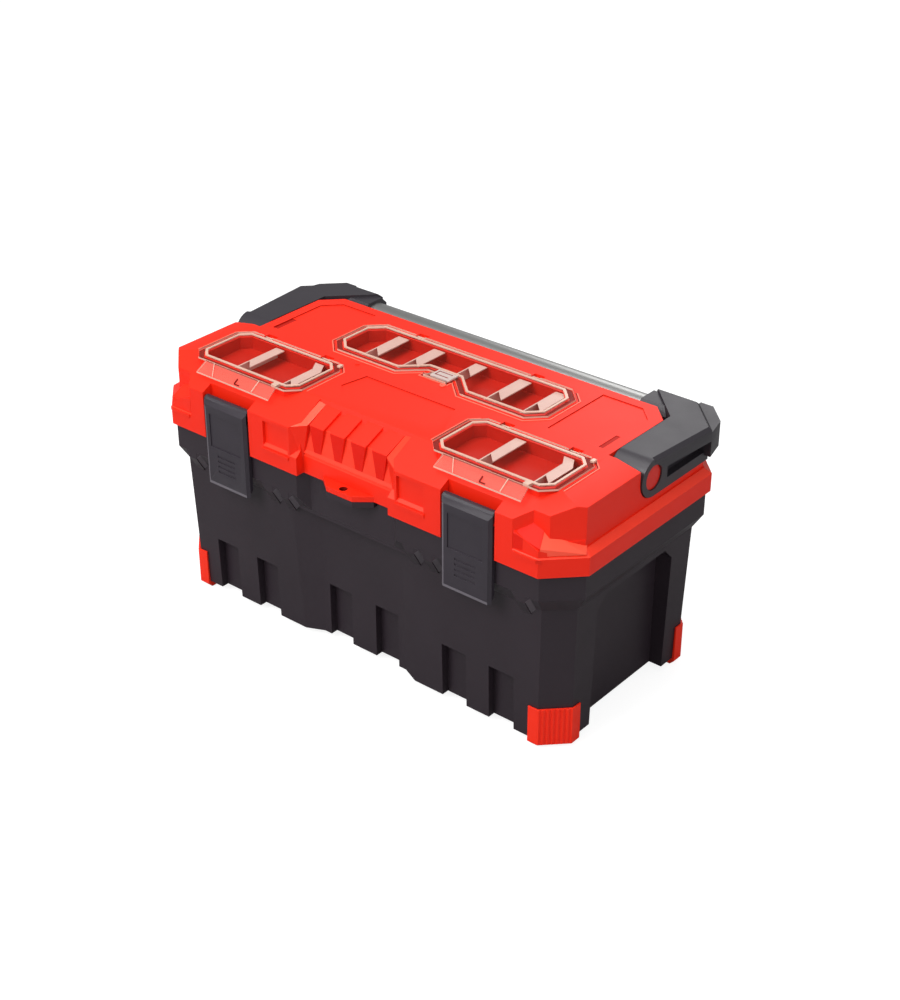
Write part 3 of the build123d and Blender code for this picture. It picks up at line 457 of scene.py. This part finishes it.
# painted shade: a darker red on the ribs' fronts and the right corner's inner facet
deepShadeRed = mouldedPlastic("deepShadeRed", {
    "colour": "E51B08", "drifted": "DA1605", "driftSize": 20, "ior": 1.49, "specular": 0.2,
    "roughness": 0.52, "roughSpread": 0.05, "grainSize": 1.3, "grainStrength": 0.25,
    "grainDepth": 0.15})
# painted highlight: a paler nylon along the latches' left edge and foot
latchEdgeHighlight = mouldedPlastic("latchEdgeHighlight", {
    "colour": "6A646C", "drifted": "5C575E", "driftSize": 8, "ior": 1.53, "specular": 0.5,
    "roughness": 0.38, "roughSpread": 0.05, "grainSize": 0.9, "grainStrength": 0.15,
    "grainDepth": 0.1})
# the rear catch, moulded thicker and nearly opaque
catchPolycarbonate = clearPlastic("catchPolycarbonate", {
    "colour": "CDBAB4", "ior": 1.58, "specular": 0.4, "solidity": 0.9, "roughness": 0.2,
    "roughSpread": 0.1, "waveSize": 5, "waveStrength": 0.4, "waveDepth": 0.3})
# clear moulded polycarbonate of the covers
clearPolycarbonate = clearPlastic("clearPolycarbonate", {
    "colour": "FF9A80", "ior": 1.58, "specular": 0.12, "solidity": 0.01, "roughness": 0.06,
    "roughSpread": 0.06, "waveSize": 14, "waveStrength": 0.2, "waveDepth": 0.25})
# painted light: the covers' sides and rims in an opaque cream, for the light that they gather
polycarbonateEdge = clearPlastic("polycarbonateEdge", {
    "colour": "DDB9A6", "ior": 1.58, "specular": 0.4, "solidity": 0.85, "roughness": 0.12,
    "roughSpread": 0.08, "waveSize": 6, "waveStrength": 0.3, "waveDepth": 0.2})
# the covers' finger tabs, lightly frosted
frostedPolycarbonate = clearPlastic("frostedPolycarbonate", {
    "colour": "F09A88", "ior": 1.58, "specular": 0.3, "solidity": 0.17, "roughness": 0.22,
    "roughSpread": 0.1, "waveSize": 5, "waveStrength": 0.4, "waveDepth": 0.3})
print("materials ready")


# Shells and small parts that keep their own shape, softened along their edges

softened = {
    "base_tub": ("tubShell", "tub", "tub_black", tubPolypropylene, 0.9),
    "lid_shell": ("lidShell", "lid", "lid_red", lidPolypropylene, 0.9),
    "lift_out_tray": ("liftTray", "tub", "tray_black", trayPolypropylene, 0.8),
    "latch_left": ("latchPlateLeft", "latch_left", "latch_black", latchNylon, 0.8),
    "latch_right": ("latchPlateRight", "latch_right", "latch_black", latchNylon, 0.8),
    "handle_arm_left": ("handleArmLeft", "handle", "handle_black", armNylon, 1.2),
    "handle_arm_right": ("handleArmRight", "handle", "handle_black", armNylon, 1.2),
    "handle_tube": ("handleTube", "handle", "tube_aluminium", brushedAluminium, 0.3),
    "pivot_cap_left": ("pivotCapLeft", "lid", "cap_red", capPolypropylene, 0.6),
    "pivot_cap_right": ("pivotCapRight", "lid", "cap_red", capPolypropylene, 0.6),
    "foot_front_left": ("guardFrontLeft", "tub", "guard_red", guardPolypropylene, 0.4),
    "foot_front_right": ("guardFrontRight", "tub", "guard_red", guardPolypropylene, 0.4),
    "foot_rear_left": ("guardRearLeft", "tub", "guard_red", guardPolypropylene, 0.4),
    "foot_rear_right": ("guardRearRight", "tub", "guard_red", guardPolypropylene, 0.4),
    "cover_front_left": (
        "clearCoverFrontLeft", "cover_front_left", "cover_clear", clearPolycarbonate, 0.4),
    "cover_front_right": (
        "clearCoverFrontRight", "cover_front_right", "cover_clear", clearPolycarbonate, 0.4),
    "cover_rear": ("clearCoverRear", "cover_rear", "cover_clear", clearPolycarbonate, 0.4),
    "dividers_front_left": ("dividersFrontLeft", "lid", "divider_pale", dividerPaintedReflection, 0.3),
    "dividers_front_right": ("dividersFrontRight", "lid", "divider_pale", dividerPaintedReflection, 0.3),
    "dividers_rear": ("dividersRear", "lid", "divider_pale", dividerPaintedReflection, 0.3),
}
armEdge = {"top": 281.2, "side": 267.5, "rear": 136.6, "corner": 371.0, "front": 7.0, "width": 3.6}


def onArmEdge(point):
    x, y, z = abs(point.x) / mm, point.y / mm, point.z / mm
    outer = x > armEdge["side"] or y > armEdge["rear"] or x + y > armEdge["corner"]
    return z > armEdge["top"] and outer and y > armEdge["front"]


pieces = {}
for nodeName, (pieceName, body, slotName, material, width) in softened.items():
    piece = copyOfNode(nodeName, pieceName)
    pieces[nodeName] = piece
    if "arm" in nodeName:
        # a broad cut along the arm's outer top edge
        chooseEdges(piece, lambda a, b: onArmEdge(a) and onArmEdge(b))
        bpy.ops.mesh.bevel(offset=armEdge["width"] * mm, segments=1, affect="EDGES")
        closeEdit()
    finishEdges(piece, width)
    settle(piece, body, slotName, material, nodeName)
    print("softened", pieceName, len(piece.data.polygons))

for nodeName, item in frame["nodes"].items():
    if "pin" in nodeName:
        dress(item, polycarbonateEdge if "cover" in nodeName else zincSteel)


# Lid: painted shade in the bins, on the steps, in the eye hole and on the ribs' fronts, and painted
# light on the facets

organisers = {
    "front_left": {
        "middle": -160.9, "half": 75.0, "low": -112.0, "high": -29.0, "reach": (-96.0, -31.0),
        "flange": 12.0, "rear": -40.0, "tops": ((-20.2, -80.0, False), (45.0, -86.0, True))},
    "front_right": {
        "middle": 160.9, "half": 75.0, "low": -112.0, "high": -29.0, "reach": (-96.0, -31.0),
        "flange": 12.0, "rear": -40.0, "tops": ((-20.2, -80.0, False), (45.0, -80.0, True))},
    "rear": {
        "middle": 0.0, "half": 141.0, "low": -5.0, "high": 76.0, "reach": (-20.0, 74.0),
        "flange": 14.5, "rear": 65.0, "tops": (
            (-100.0, 29.0, False), (-50.0, 34.0, False), (6.5, 52.0, False),
            (64.4, 29.0, False), (110.5, 33.0, False))},
}
lidLook = {
    "binInset": 8.6, "binHeights": (266.5, 280.3),
    "stepInset": -1.0, "stepFront": -90.0, "stepHeights": (279.2, 280.95), "stepUpright": 0.95,
    "slotHeights": (279.3, 279.7),
    "ribFronts": ((-1.0, -127.0, 236.0), (53.0, -124.0, 265.0)),
    "bossTops": ((70.0, -138.0, 259.0), (230.0, -97.0, 290.0)), "bossSlope": (0.7, 0.95),
    "ledgeHeights": (227.5, 234.5), "ledgeSlope": (0.3, 0.9),
    "eye": -134.0, "eyeReach": 4.6, "eyeUpright": 0.5,
    "barEnds": ((243.9, -145.0, 223.5), (260.0, -136.6, 228.6)), "barBack": 4.0,
}


def within(look, point, inset):
    # is a point inside a cover's outline, less an inset?
    x, y = abs(point.x / mm - look["middle"]), point.y / mm
    return x < look["half"] - inset and look["low"] + inset < y < look["high"] - inset


def between(value, limits):
    return limits[0] < value < limits[1]


def inBin(centre, normal):
    return between(centre.z / mm, lidLook["binHeights"]) and any(
        within(look, centre, lidLook["binInset"]) for look in organisers.values())


def onStep(centre, normal):
    # the small walls round the crown's shallow panels, and the floors of its two slots
    underCover = any(within(look, centre, lidLook["stepInset"]) for look in organisers.values())
    if underCover or centre.y / mm < lidLook["stepFront"]:
        return False
    upright = abs(normal.z) < lidLook["stepUpright"]
    wall = between(centre.z / mm, lidLook["stepHeights"]) and upright
    return wall or between(centre.z / mm, lidLook["slotHeights"])


def inEyeHole(centre, normal):
    away = math.hypot(centre.x / mm, centre.y / mm - lidLook["eye"])
    return away < lidLook["eyeReach"] and abs(normal.z) < lidLook["eyeUpright"]


def onRibFront(centre, normal):
    return inBox(centre, *lidLook["ribFronts"]) and normal.y < -facing["straight"]


def onFacet(centre, normal):
    # the bosses' sloped tops, and the ledge along the lid's front and ends
    bossTop = inBox(centre, *lidLook["bossTops"]) and between(normal.z, lidLook["bossSlope"])
    ledge = between(centre.z / mm, lidLook["ledgeHeights"]) and between(normal.z, lidLook["ledgeSlope"])
    return bossTop or ledge


lid = pieces["lid_shell"]
for side in (-1, 1):
    # the bars under the corner niches end where the rim's corner is cut
    shiftPoints(lid, lambda point: side * point.x > 0 and inBox(point, *lidLook["barEnds"]),
                (-side * lidLook["barBack"], 0, 0))
# painted shade on the bins' walls and floors
paintFaces(lid, binShadeRed, inBin)
# painted shade on the crown's steps and slot floors
paintFaces(lid, stepShadeRed, onStep)
# painted shade inside the eye hole
paintFaces(lid, paintedShadeRed, inEyeHole)
# painted shade on the ribs' fronts
paintFaces(lid, deepShadeRed, onRibFront)
# painted light on the bosses' sloped tops and the ledge
paintFaces(lid, litFacetRed, onFacet)


# Organisers: dividers with flat tops, pale with a painted reflection, and clear covers whose rims carry
# painted light

flangeLook = {"low": 279.1, "high": 280.4, "start": 1.6, "radius": 0.25,
              "bendRun": 14.0, "bendShift": -8.5, "bendGap": 14.0}
for place, look in organisers.items():
    tops = []
    for across, front, bent in look["tops"]:
        left = look["middle"] + across + flangeLook["start"]
        tip = front - look["flange"]
        rear = look["rear"] - (flangeLook["bendGap"] if bent else 0)
        top = addBar("top", (left, tip, flangeLook["low"]),
                     (left + look["flange"], rear, flangeLook["high"]))
        shiftPoints(top, lambda point: closeTo(point.x / mm, left) and closeTo(point.y / mm, tip),
                    (0, look["flange"], 0))
        if bent:
            chooseFaces(top, lambda centre, normal: normal.y > facing["straight"])
            bpy.ops.mesh.extrude_region_move(TRANSFORM_OT_translate={
                "value": (flangeLook["bendShift"] * mm, flangeLook["bendRun"] * mm, 0)})
            closeEdit()
        roundBar(top, flangeLook["radius"])
        dress(top, dividerPaintedReflection)
        tops.append(top)
    body = pieces["dividers_" + place]
    joinAll(body.name, [body] + tops)
    print("dividers", place)

coverLook = {"side": 0.62, "raised": 283.6, "behind": 0.4, "beyond": 0.3}
tabLook = {
    "rootHalf": 43.64, "rootShift": 7.0, "rootReach": (1.6, 1.2),
    "root": -112.0, "end": -125.0, "rootTop": 283.0, "endTop": 274.5,
    "creases": ((-38.0, -29.0), (27.5, 27.5)), "line": 1.0, "lineRise": 0.4, "lineEnd": (0.6, 2.0),
    "lineRadius": 0.2,
    "blocks": (((43.5, -111.5, 280.6), (50.5, -104.5, 284.4)),
               ((66.0, -37.5, 282.0), (70.5, -31.5, 284.4))),
    "blockRadius": 0.5,
    "marks": (((2.0, -123.6, 275.6), (3.0, -118.6, 277.2)),
              ((2.0, -123.9, 275.2), (9.0, -122.9, 276.2))),
    "markRear": -120.0, "markRise": 2.9,
}


def barsAt(name, middle, boxes, radius=0):
    # bars between pairs of corners, moved across to a cover's middle
    return [addBar(name, (middle + low[0], *low[1:]), (middle + high[0], *high[1:]), radius)
            for low, high in boxes]


def slantedBar(name, startX, endX):
    # a fine crease on the tab, from its root to its end
    half = tabLook["line"] / 2
    short, rearmost = tabLook["lineEnd"]
    bar = addBar(name, (startX - half, tabLook["end"] + short, tabLook["rootTop"] - half),
                 (startX + half, tabLook["root"], tabLook["rootTop"] + half))
    drop = tabLook["endTop"] - tabLook["rootTop"] + tabLook["lineRise"]
    shiftPoints(bar, lambda point: point.y / mm < tabLook["end"] + rearmost, (endX - startX, 0, drop))
    roundBar(bar, tabLook["lineRadius"])
    return bar


for place, look in organisers.items():
    cover = pieces["cover_" + place]
    middle = look["middle"]

    def onRim(centre, normal):
        edge = abs(normal.z) < coverLook["side"] or centre.z / mm > coverLook["raised"]
        return edge and centre.y / mm < look["high"] + coverLook["behind"]

    def onTab(centre, normal):
        return centre.y / mm < look["low"] - coverLook["beyond"] and abs(normal.z) >= coverLook["side"]

    if place == "rear":
        paintFaces(cover, polycarbonateEdge, onRim)
        continue
    for side in (-1, 1):
        # the tab's root reaches the cover's corners
        shiftPoints(cover, lambda point: closeTo(
            (point.x / mm - middle) * side, tabLook["rootHalf"], tabLook["rootReach"][0])
            and closeTo(point.y / mm, tabLook["root"], tabLook["rootReach"][1]),
            (side * tabLook["rootShift"], 0, 0))
    paintFaces(cover, polycarbonateEdge, onRim)
    paintFaces(cover, frostedPolycarbonate, onTab)
    # creases and corner blocks in the same cream of painted light
    trim = [slantedBar("crease", middle + a, middle + b) for a, b in tabLook["creases"]]
    trim += barsAt("block", middle, tabLook["blocks"], tabLook["blockRadius"])
    rims = joinAll("coverRims" + sideName(middle), trim)
    settle(rims, "cover_" + place, "cover_clear", polycarbonateEdge)
    # a small dark hook under each tab: the snap hook's shadow, painted as a dark mark
    mark = barsAt("mark", middle, tabLook["marks"])
    shiftPoints(mark[0], lambda point: point.y / mm > tabLook["markRear"], (0, 0, tabLook["markRise"]))
    catch = joinAll("tabHookShadow" + sideName(middle), mark)
    settle(catch, "cover_" + place, "lid_red", paintedShadeRed)
print("organisers ready")

# low rings on the crown, under and round each cover's outline: a band of painted shade under the sheet,
# a lip with a painted highlight, and a thin painted shadow line beside the lip
ringLook = {
    "sheet": 281.3, "sheetReach": 0.05, "down": -0.99,  # how the sheet's underside is found
    "crown": 281.0, "merge": 1.3, "flatWithin": 1.0, "thick": 5.0,
    "band": {"outer": -0.5, "width": 5.4, "height": 0.2},
    "lip": {"outer": 4.4, "width": 1.3, "height": 0.45},
    "groove": {"outer": 3.1, "width": 1.0, "height": 0.1}}


def keepChosen():
    bpy.ops.mesh.select_all(action="INVERT")
    bpy.ops.mesh.delete(type="FACE")
    bpy.ops.mesh.select_all(action="SELECT")


def outlineRing(name, nodeName, look):
    # starts from the underside of the cover's sheet, laid on the crown
    ring = copyOfNode(nodeName, name)
    chooseFaces(ring, lambda centre, normal: normal.z < ringLook["down"] and closeTo(
        centre.z / mm, ringLook["sheet"], ringLook["sheetReach"]))
    keepChosen()
    bpy.ops.mesh.remove_doubles(threshold=ringLook["merge"] * mm)
    bpy.ops.mesh.dissolve_limited(angle_limit=math.radians(ringLook["flatWithin"]))
    bpy.ops.mesh.flip_normals()
    bpy.ops.transform.translate(value=(0, 0, (ringLook["crown"] - ringLook["sheet"]) * mm))
    if look["outer"] > 0:
        # grown outward as a thick plate, of which the top is kept
        bpy.ops.mesh.extrude_region_move(
            TRANSFORM_OT_translate={"value": (0, 0, ringLook["thick"] * mm)})
        bpy.ops.mesh.select_all(action="SELECT")
        bpy.ops.mesh.normals_make_consistent(inside=False)
        bpy.ops.transform.shrink_fatten(value=look["outer"] * mm, use_even_offset=True)
        closeEdit()
        chooseFaces(ring, lambda centre, normal: normal.z > facing["straight"])
        bpy.ops.transform.resize(value=(1, 1, 0))
        closeEdit()
        top = max(point.co.z for point in ring.data.vertices)
        bpy.ops.object.mode_set(mode="EDIT")
        bpy.ops.transform.translate(value=(0, 0, ringLook["crown"] * mm - top))
    else:
        bpy.ops.mesh.inset(thickness=-look["outer"] * mm)
    keepChosen()
    bpy.ops.mesh.inset(thickness=look["width"] * mm)
    bpy.ops.mesh.delete(type="FACE")
    bpy.ops.mesh.select_all(action="SELECT")
    bpy.ops.mesh.extrude_region_move(TRANSFORM_OT_translate={"value": (0, 0, look["height"] * mm)})
    bpy.ops.mesh.select_all(action="SELECT")
    bpy.ops.mesh.normals_make_consistent(inside=False)
    closeEdit()
    return ring


def cutAway(piece, y, way):
    # removes what lies beyond a plane across the box, and closes the cut
    openWhole(piece)
    bpy.ops.mesh.bisect(plane_co=(0, y * mm, 0), plane_no=(0, way, 0), clear_outer=True, use_fill=True)
    closeEdit()


for place, look in organisers.items():
    tail = "".join(word.capitalize() for word in place.split("_"))
    band = outlineRing("organiserBand" + tail, "cover_" + place, ringLook["band"])
    # the band is painted shade under the cover's sheet
    settle(band, "lid", "lid_red", paintedShadeRed)
    lip = outlineRing("organiserLip" + tail, "cover_" + place, ringLook["lip"])
    # the lip carries a painted highlight; the thin dark ring is a painted shadow line
    groove = outlineRing("organiserShadowLine" + tail, "cover_" + place, ringLook["groove"])
    for ring, material in ((lip, highlightRed), (groove, paintedShadeRed)):
        cutAway(ring, look["reach"][0], -1)
        cutAway(ring, look["reach"][1], 1)
        settle(ring, "lid", "lid_red", material)
    print("rings", place, len(band.data.polygons), len(lip.data.polygons))

# the rear cover's catch: a pale plate with a U-shaped slot, and the lid's stud that it snaps over
catchLook = {
    "clip": -15.0, "clipReach": 0.8, "clipDepths": (7.0, 19.0), "clipShift": 7.0,
    "plate": ((-7.5, 9.0, 283.2), (16.5, 24.0, 284.2)), "plateRadius": 0.3,
    "rims": (((-7.5, 8.4, 282.0), (17.0, 10.0, 284.4)), ((15.0, 9.0, 282.4), (17.5, 25.0, 284.4))),
    "rimRadius": 0.4,
    "slots": (((-4.5, 12.5, 284.1), (13.0, 13.7, 284.35)),
              ((-4.5, 20.0, 284.1), (13.0, 21.2, 284.35)),
              ((-4.5, 12.5, 284.1), (-3.4, 21.2, 284.35)))}


def onClip(point):
    beside = closeTo(point.x / mm, catchLook["clip"], catchLook["clipReach"])
    return beside and between(point.y / mm, catchLook["clipDepths"])


shiftPoints(pieces["cover_rear"], onClip, (catchLook["clipShift"], 0, 0))
catchBars = [addBar("plate", *catchLook["plate"], catchLook["plateRadius"])]
catchBars += barsAt("rim", 0, catchLook["rims"], catchLook["rimRadius"])
settle(joinAll("rearCatch", catchBars), "cover_rear", "cover_clear", catchPolycarbonate)
# the U-shaped slot, drawn as thin dark bars on the plate: painted shade in the slot
slots = joinAll("rearCatchSlots", barsAt("slot", 0, catchLook["slots"]))
settle(slots, "cover_rear", "lid_red", paintedShadeRed)

studLook = {"place": (15.5, 1.5, 281.6), "radius": 3.2, "height": 1.4, "sides": 24,
            "wall": 1.2, "hollow": 0.8, "edge": 0.25}
clearSelection()
bpy.ops.mesh.primitive_cylinder_add(
    vertices=studLook["sides"], radius=studLook["radius"] * mm, depth=studLook["height"] * mm,
    location=[v * mm for v in studLook["place"]])
stud = bpy.context.object
stud.name = "catchStud"
bakePlace(stud)
chooseFaces(stud, lambda centre, normal: normal.z > facing["straight"])
bpy.ops.mesh.inset(thickness=studLook["wall"] * mm)
bpy.ops.mesh.extrude_region_move(TRANSFORM_OT_translate={"value": (0, 0, -studLook["hollow"] * mm)})
closeEdit()
finishEdges(stud, studLook["edge"])
# painted highlight on the stud
settle(stud, "lid", "lid_red", highlightRed)
print("catch ready")


# Front of the lid: a shallow floor between the ribs, and a facet from each boss to the first rib

frontLook = {
    "half": 62.0, "fieldRadius": 0.4, "facetRadius": 0.5,
    "floor": [(-99.0, 274.3), (-122.3, 263.7), (-125.4, 235.0), (-104.0, 235.0)],
    "sill": [(-104.0, 236.0), (-125.0, 236.0), (-127.3, 231.5), (-112.0, 226.0)],
    "facetTop": [
        (71.0, -99.5, 279.6), (52.2, -99.5, 277.2), (52.2, -127.2, 264.6), (71.0, -136.8, 260.6)],
    "facetFoot": [
        (71.0, -112.0, 214.0), (64.0, -112.0, 214.0), (62.5, -127.0, 214.0), (71.0, -136.6, 214.0)],
}
field = []
for part in ("floor", "sill"):
    ends = [[(x, y, z) for y, z in frontLook[part]] for x in (-frontLook["half"], frontLook["half"])]
    field.append(cornerBlock("field", *ends, frontLook["fieldRadius"]))
apron = joinAll("ribField", field)
settle(apron, "lid", "lid_red", lidPolypropylene)
# painted light on the field's front faces
paintFaces(apron, litFacetRed, lambda centre, normal: normal.y < -facing["mostly"])
for side in (-1, 1):
    ends = [[(side * x, y, z) for x, y, z in frontLook[part]] for part in ("facetTop", "facetFoot")]
    facet = cornerBlock("bossFacet" + sideName(side), *ends, frontLook["facetRadius"])
    settle(facet, "lid", "lid_red", lidPolypropylene)
    # painted light on the facets' upper faces, brightest on the left boss
    paintFaces(facet, highlightFacetRed if side < 0 else litFacetRed,
               lambda centre, normal: normal.z > facing["partly"])

cornerLook = {"base": 230.5, "radius": 0.3, "patches": (
    (deepShadeRed, (
        (224.0, -121.5, 255.6), (213.5, -136.7, 246.5),
        (243.4, -134.8, 238.7), (238.0, -121.5, 251.0))),
    (highlightFacetRed, (
        (237.5, -120.5, 251.0), (242.9, -134.9, 238.7),
        (274.0, -105.0, 231.6), (268.5, -96.5, 236.0))))}
for side in (-1, 1):
    # painted shade and a painted highlight on the right corner only; the left corner keeps the lid's
    # red
    patches = []
    for material, patch in cornerLook["patches"]:
        top = [(side * x, y, z) for x, y, z in patch]
        foot = [(x, y, cornerLook["base"]) for x, y, z in top]
        patches.append(cornerBlock("patch", top, foot, cornerLook["radius"]))
        dress(patches[-1], material if side > 0 else lidPolypropylene)
    corner = joinAll("cornerFacet" + sideName(side), patches)
    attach(corner, "lid")
print("front ready")


# Latches: a painted highlight along the left side and the foot

highlightEdgeLook = {"middle": 160.0, "inner": -26.0, "foot": 160.9, "front": -139.0, "top": 245.0}
for side in (-1, 1):
    plate = pieces["latch_" + sideName(side).lower()]
    inner = side * highlightEdgeLook["middle"] + highlightEdgeLook["inner"]
    for point, axis in (((inner, 0, 0), (1, 0, 0)), ((0, 0, highlightEdgeLook["foot"]), (0, 0, 1))):
        openWhole(plate)
        bpy.ops.mesh.bisect(plane_co=[v * mm for v in point], plane_no=axis)
        closeEdit()

    def onHighlightEdge(centre, normal):
        x, y, z = (v / mm for v in centre)
        beside, below = x < inner and z < highlightEdgeLook["top"], z < highlightEdgeLook["foot"]
        return normal.y < -facing["mostly"] and y < highlightEdgeLook["front"] and (beside or below)

    paintFaces(plate, latchEdgeHighlight, onHighlightEdge)
print("latches ready")


# Tub: flanks that run the gussets out into the flare

flankLook = {
    "places": (84.5, 107.5, 220.5), "half": 4.5, "run": 11.0, "radius": 0.2, "under": -0.25,
    "near": [(-132.4, 180.0), (-132.4, 172.4), (-121.8, 154.4), (-121.8, 163.0)],
    "far": [(-132.0, 180.0), (-132.0, 179.2), (-121.8, 162.4), (-121.8, 163.0)]}
flanks = []
for place in flankLook["places"]:
    for side in (-1, 1):
        for way in (-1, 1):
            near = side * place + way * flankLook["half"]
            far = side * place + way * flankLook["run"]
            flanks.append(cornerBlock("flank", [(near, y, z) for y, z in flankLook["near"]],
                                      [(far, y, z) for y, z in flankLook["far"]], flankLook["radius"]))
gussetFlanks = joinAll("gussetFlanks", flanks)
settle(gussetFlanks, "tub", "tub_black", tubPolypropylene)
# painted light on the flanks' downward faces
paintFaces(gussetFlanks, litFlankTub, lambda centre, normal: normal.z < flankLook["under"])
print("tub ready")


# Stage, light and camera, in metres and watts

stageLook = {"floor": 6.0, "floorHeight": -0.0002, "floorTone": "9A9A9A", "floorGlow": 0.86,
             "white": "FFFFFF", "seen": 1.0, "sky": 0.42, "mirrored": 0.25}
lamps = {
    "keyLamp": {"place": (-0.55, -1.9, 1.75), "target": (0, 0, 0.15), "size": 1.4, "power": 44},
    "fillLamp": {"place": (2.0, -0.6, 1.0), "target": (0, 0, 0.15), "size": 1.5, "power": 9.5},
    # mirrored in the right arm's top
    "sheenLamp": {"place": (-0.49, 1.45, 1.14), "target": (0.2, 0, 0.25), "size": 0.7, "power": 3.5},
    "topLamp": {"place": (-0.1, -0.3, 2.2), "target": (0, 0, 0.2), "size": 1.4, "power": 24},
}
cameraLook = {"place": (1.0626, -1.2554, 1.0854), "down": 29.84, "turn": 39.54,
              "lens": 64.44, "sensor": 36}


def whiteFloor():
    # a floor that the camera sees as white, with the object's soft shadow on it
    material = bpy.data.materials.new("whiteFloor")
    material.use_nodes = True
    tree = material.node_tree
    tree.nodes.clear()
    shader = addNode(tree, "ShaderNodeBsdfDiffuse", {"Color": hexColour(stageLook["floorTone"])})
    glow = addNode(tree, "ShaderNodeEmission",
                   {"Color": hexColour(stageLook["white"]), "Strength": stageLook["floorGlow"]})
    both = addNode(tree, "ShaderNodeAddShader")
    tree.links.new(shader.outputs[0], both.inputs[0])
    tree.links.new(glow.outputs[0], both.inputs[1])
    rays = addNode(tree, "ShaderNodeLightPath")
    pick = addNode(tree, "ShaderNodeMixShader", None, {"Fac": rays.outputs["Is Camera Ray"]})
    tree.links.new(shader.outputs[0], pick.inputs[1])
    tree.links.new(both.outputs[0], pick.inputs[2])
    addNode(tree, "ShaderNodeOutputMaterial", None, {"Surface": pick.outputs[0]})
    return material


clearSelection()
bpy.ops.mesh.primitive_plane_add(size=stageLook["floor"], location=(0, 0, stageLook["floorHeight"]))
floor = bpy.context.object
floor.name = "stageFloor"
bakePlace(floor)
dress(floor, whiteFloor())

# white to the camera, a soft grey to the object, and darker in its reflections
world = bpy.data.worlds.new("softStudio")
bpy.context.scene.world = world
world.use_nodes = True
sky = world.node_tree
sky.nodes.clear()
rays = addNode(sky, "ShaderNodeLightPath")
seen = addNode(sky, "ShaderNodeMath", {"operation": "MAXIMUM"})
sky.links.new(rays.outputs["Is Camera Ray"], seen.inputs[0])
sky.links.new(rays.outputs["Is Transmission Ray"], seen.inputs[1])
mirror = addNode(sky, "ShaderNodeMapRange",
                 {"To Min": stageLook["sky"], "To Max": stageLook["mirrored"]},
                 {"Value": rays.outputs["Is Glossy Ray"]})
level = addNode(sky, "ShaderNodeMix", {"data_type": "FLOAT"}, {"Factor": seen.outputs[0]})
sky.links.new(mirror.outputs["Result"], level.inputs[2])
level.inputs[3].default_value = stageLook["seen"]
glow = addNode(sky, "ShaderNodeBackground", {"Color": hexColour(stageLook["white"])},
               {"Strength": level.outputs[0]})
addNode(sky, "ShaderNodeOutputWorld", None, {"Surface": glow.outputs[0]})


def softLamp(name, look):
    # a large square lamp that looks at a point
    bpy.ops.object.light_add(type="AREA", location=look["place"])
    lamp = bpy.context.object
    lamp.name = name
    lamp.data.shape = "SQUARE"
    lamp.data.size = look["size"]
    lamp.data.energy = look["power"]
    away = [t - p for t, p in zip(look["target"], look["place"])]
    flat = math.hypot(away[0], away[1])
    lamp.rotation_euler = (math.atan2(flat, -away[2]), 0, math.atan2(away[1], away[0]) - math.pi / 2)


for name, look in lamps.items():
    softLamp(name, look)

bpy.ops.object.camera_add(location=cameraLook["place"], rotation=(
    math.radians(90 - cameraLook["down"]), 0, math.radians(cameraLook["turn"])))
camera = bpy.context.object
camera.data.lens = cameraLook["lens"]
camera.data.sensor_width = cameraLook["sensor"]
camera.data.sensor_fit = "AUTO"
bpy.context.scene.camera = camera
bpy.context.scene.view_settings.view_transform = "Standard"
print("stage ready")
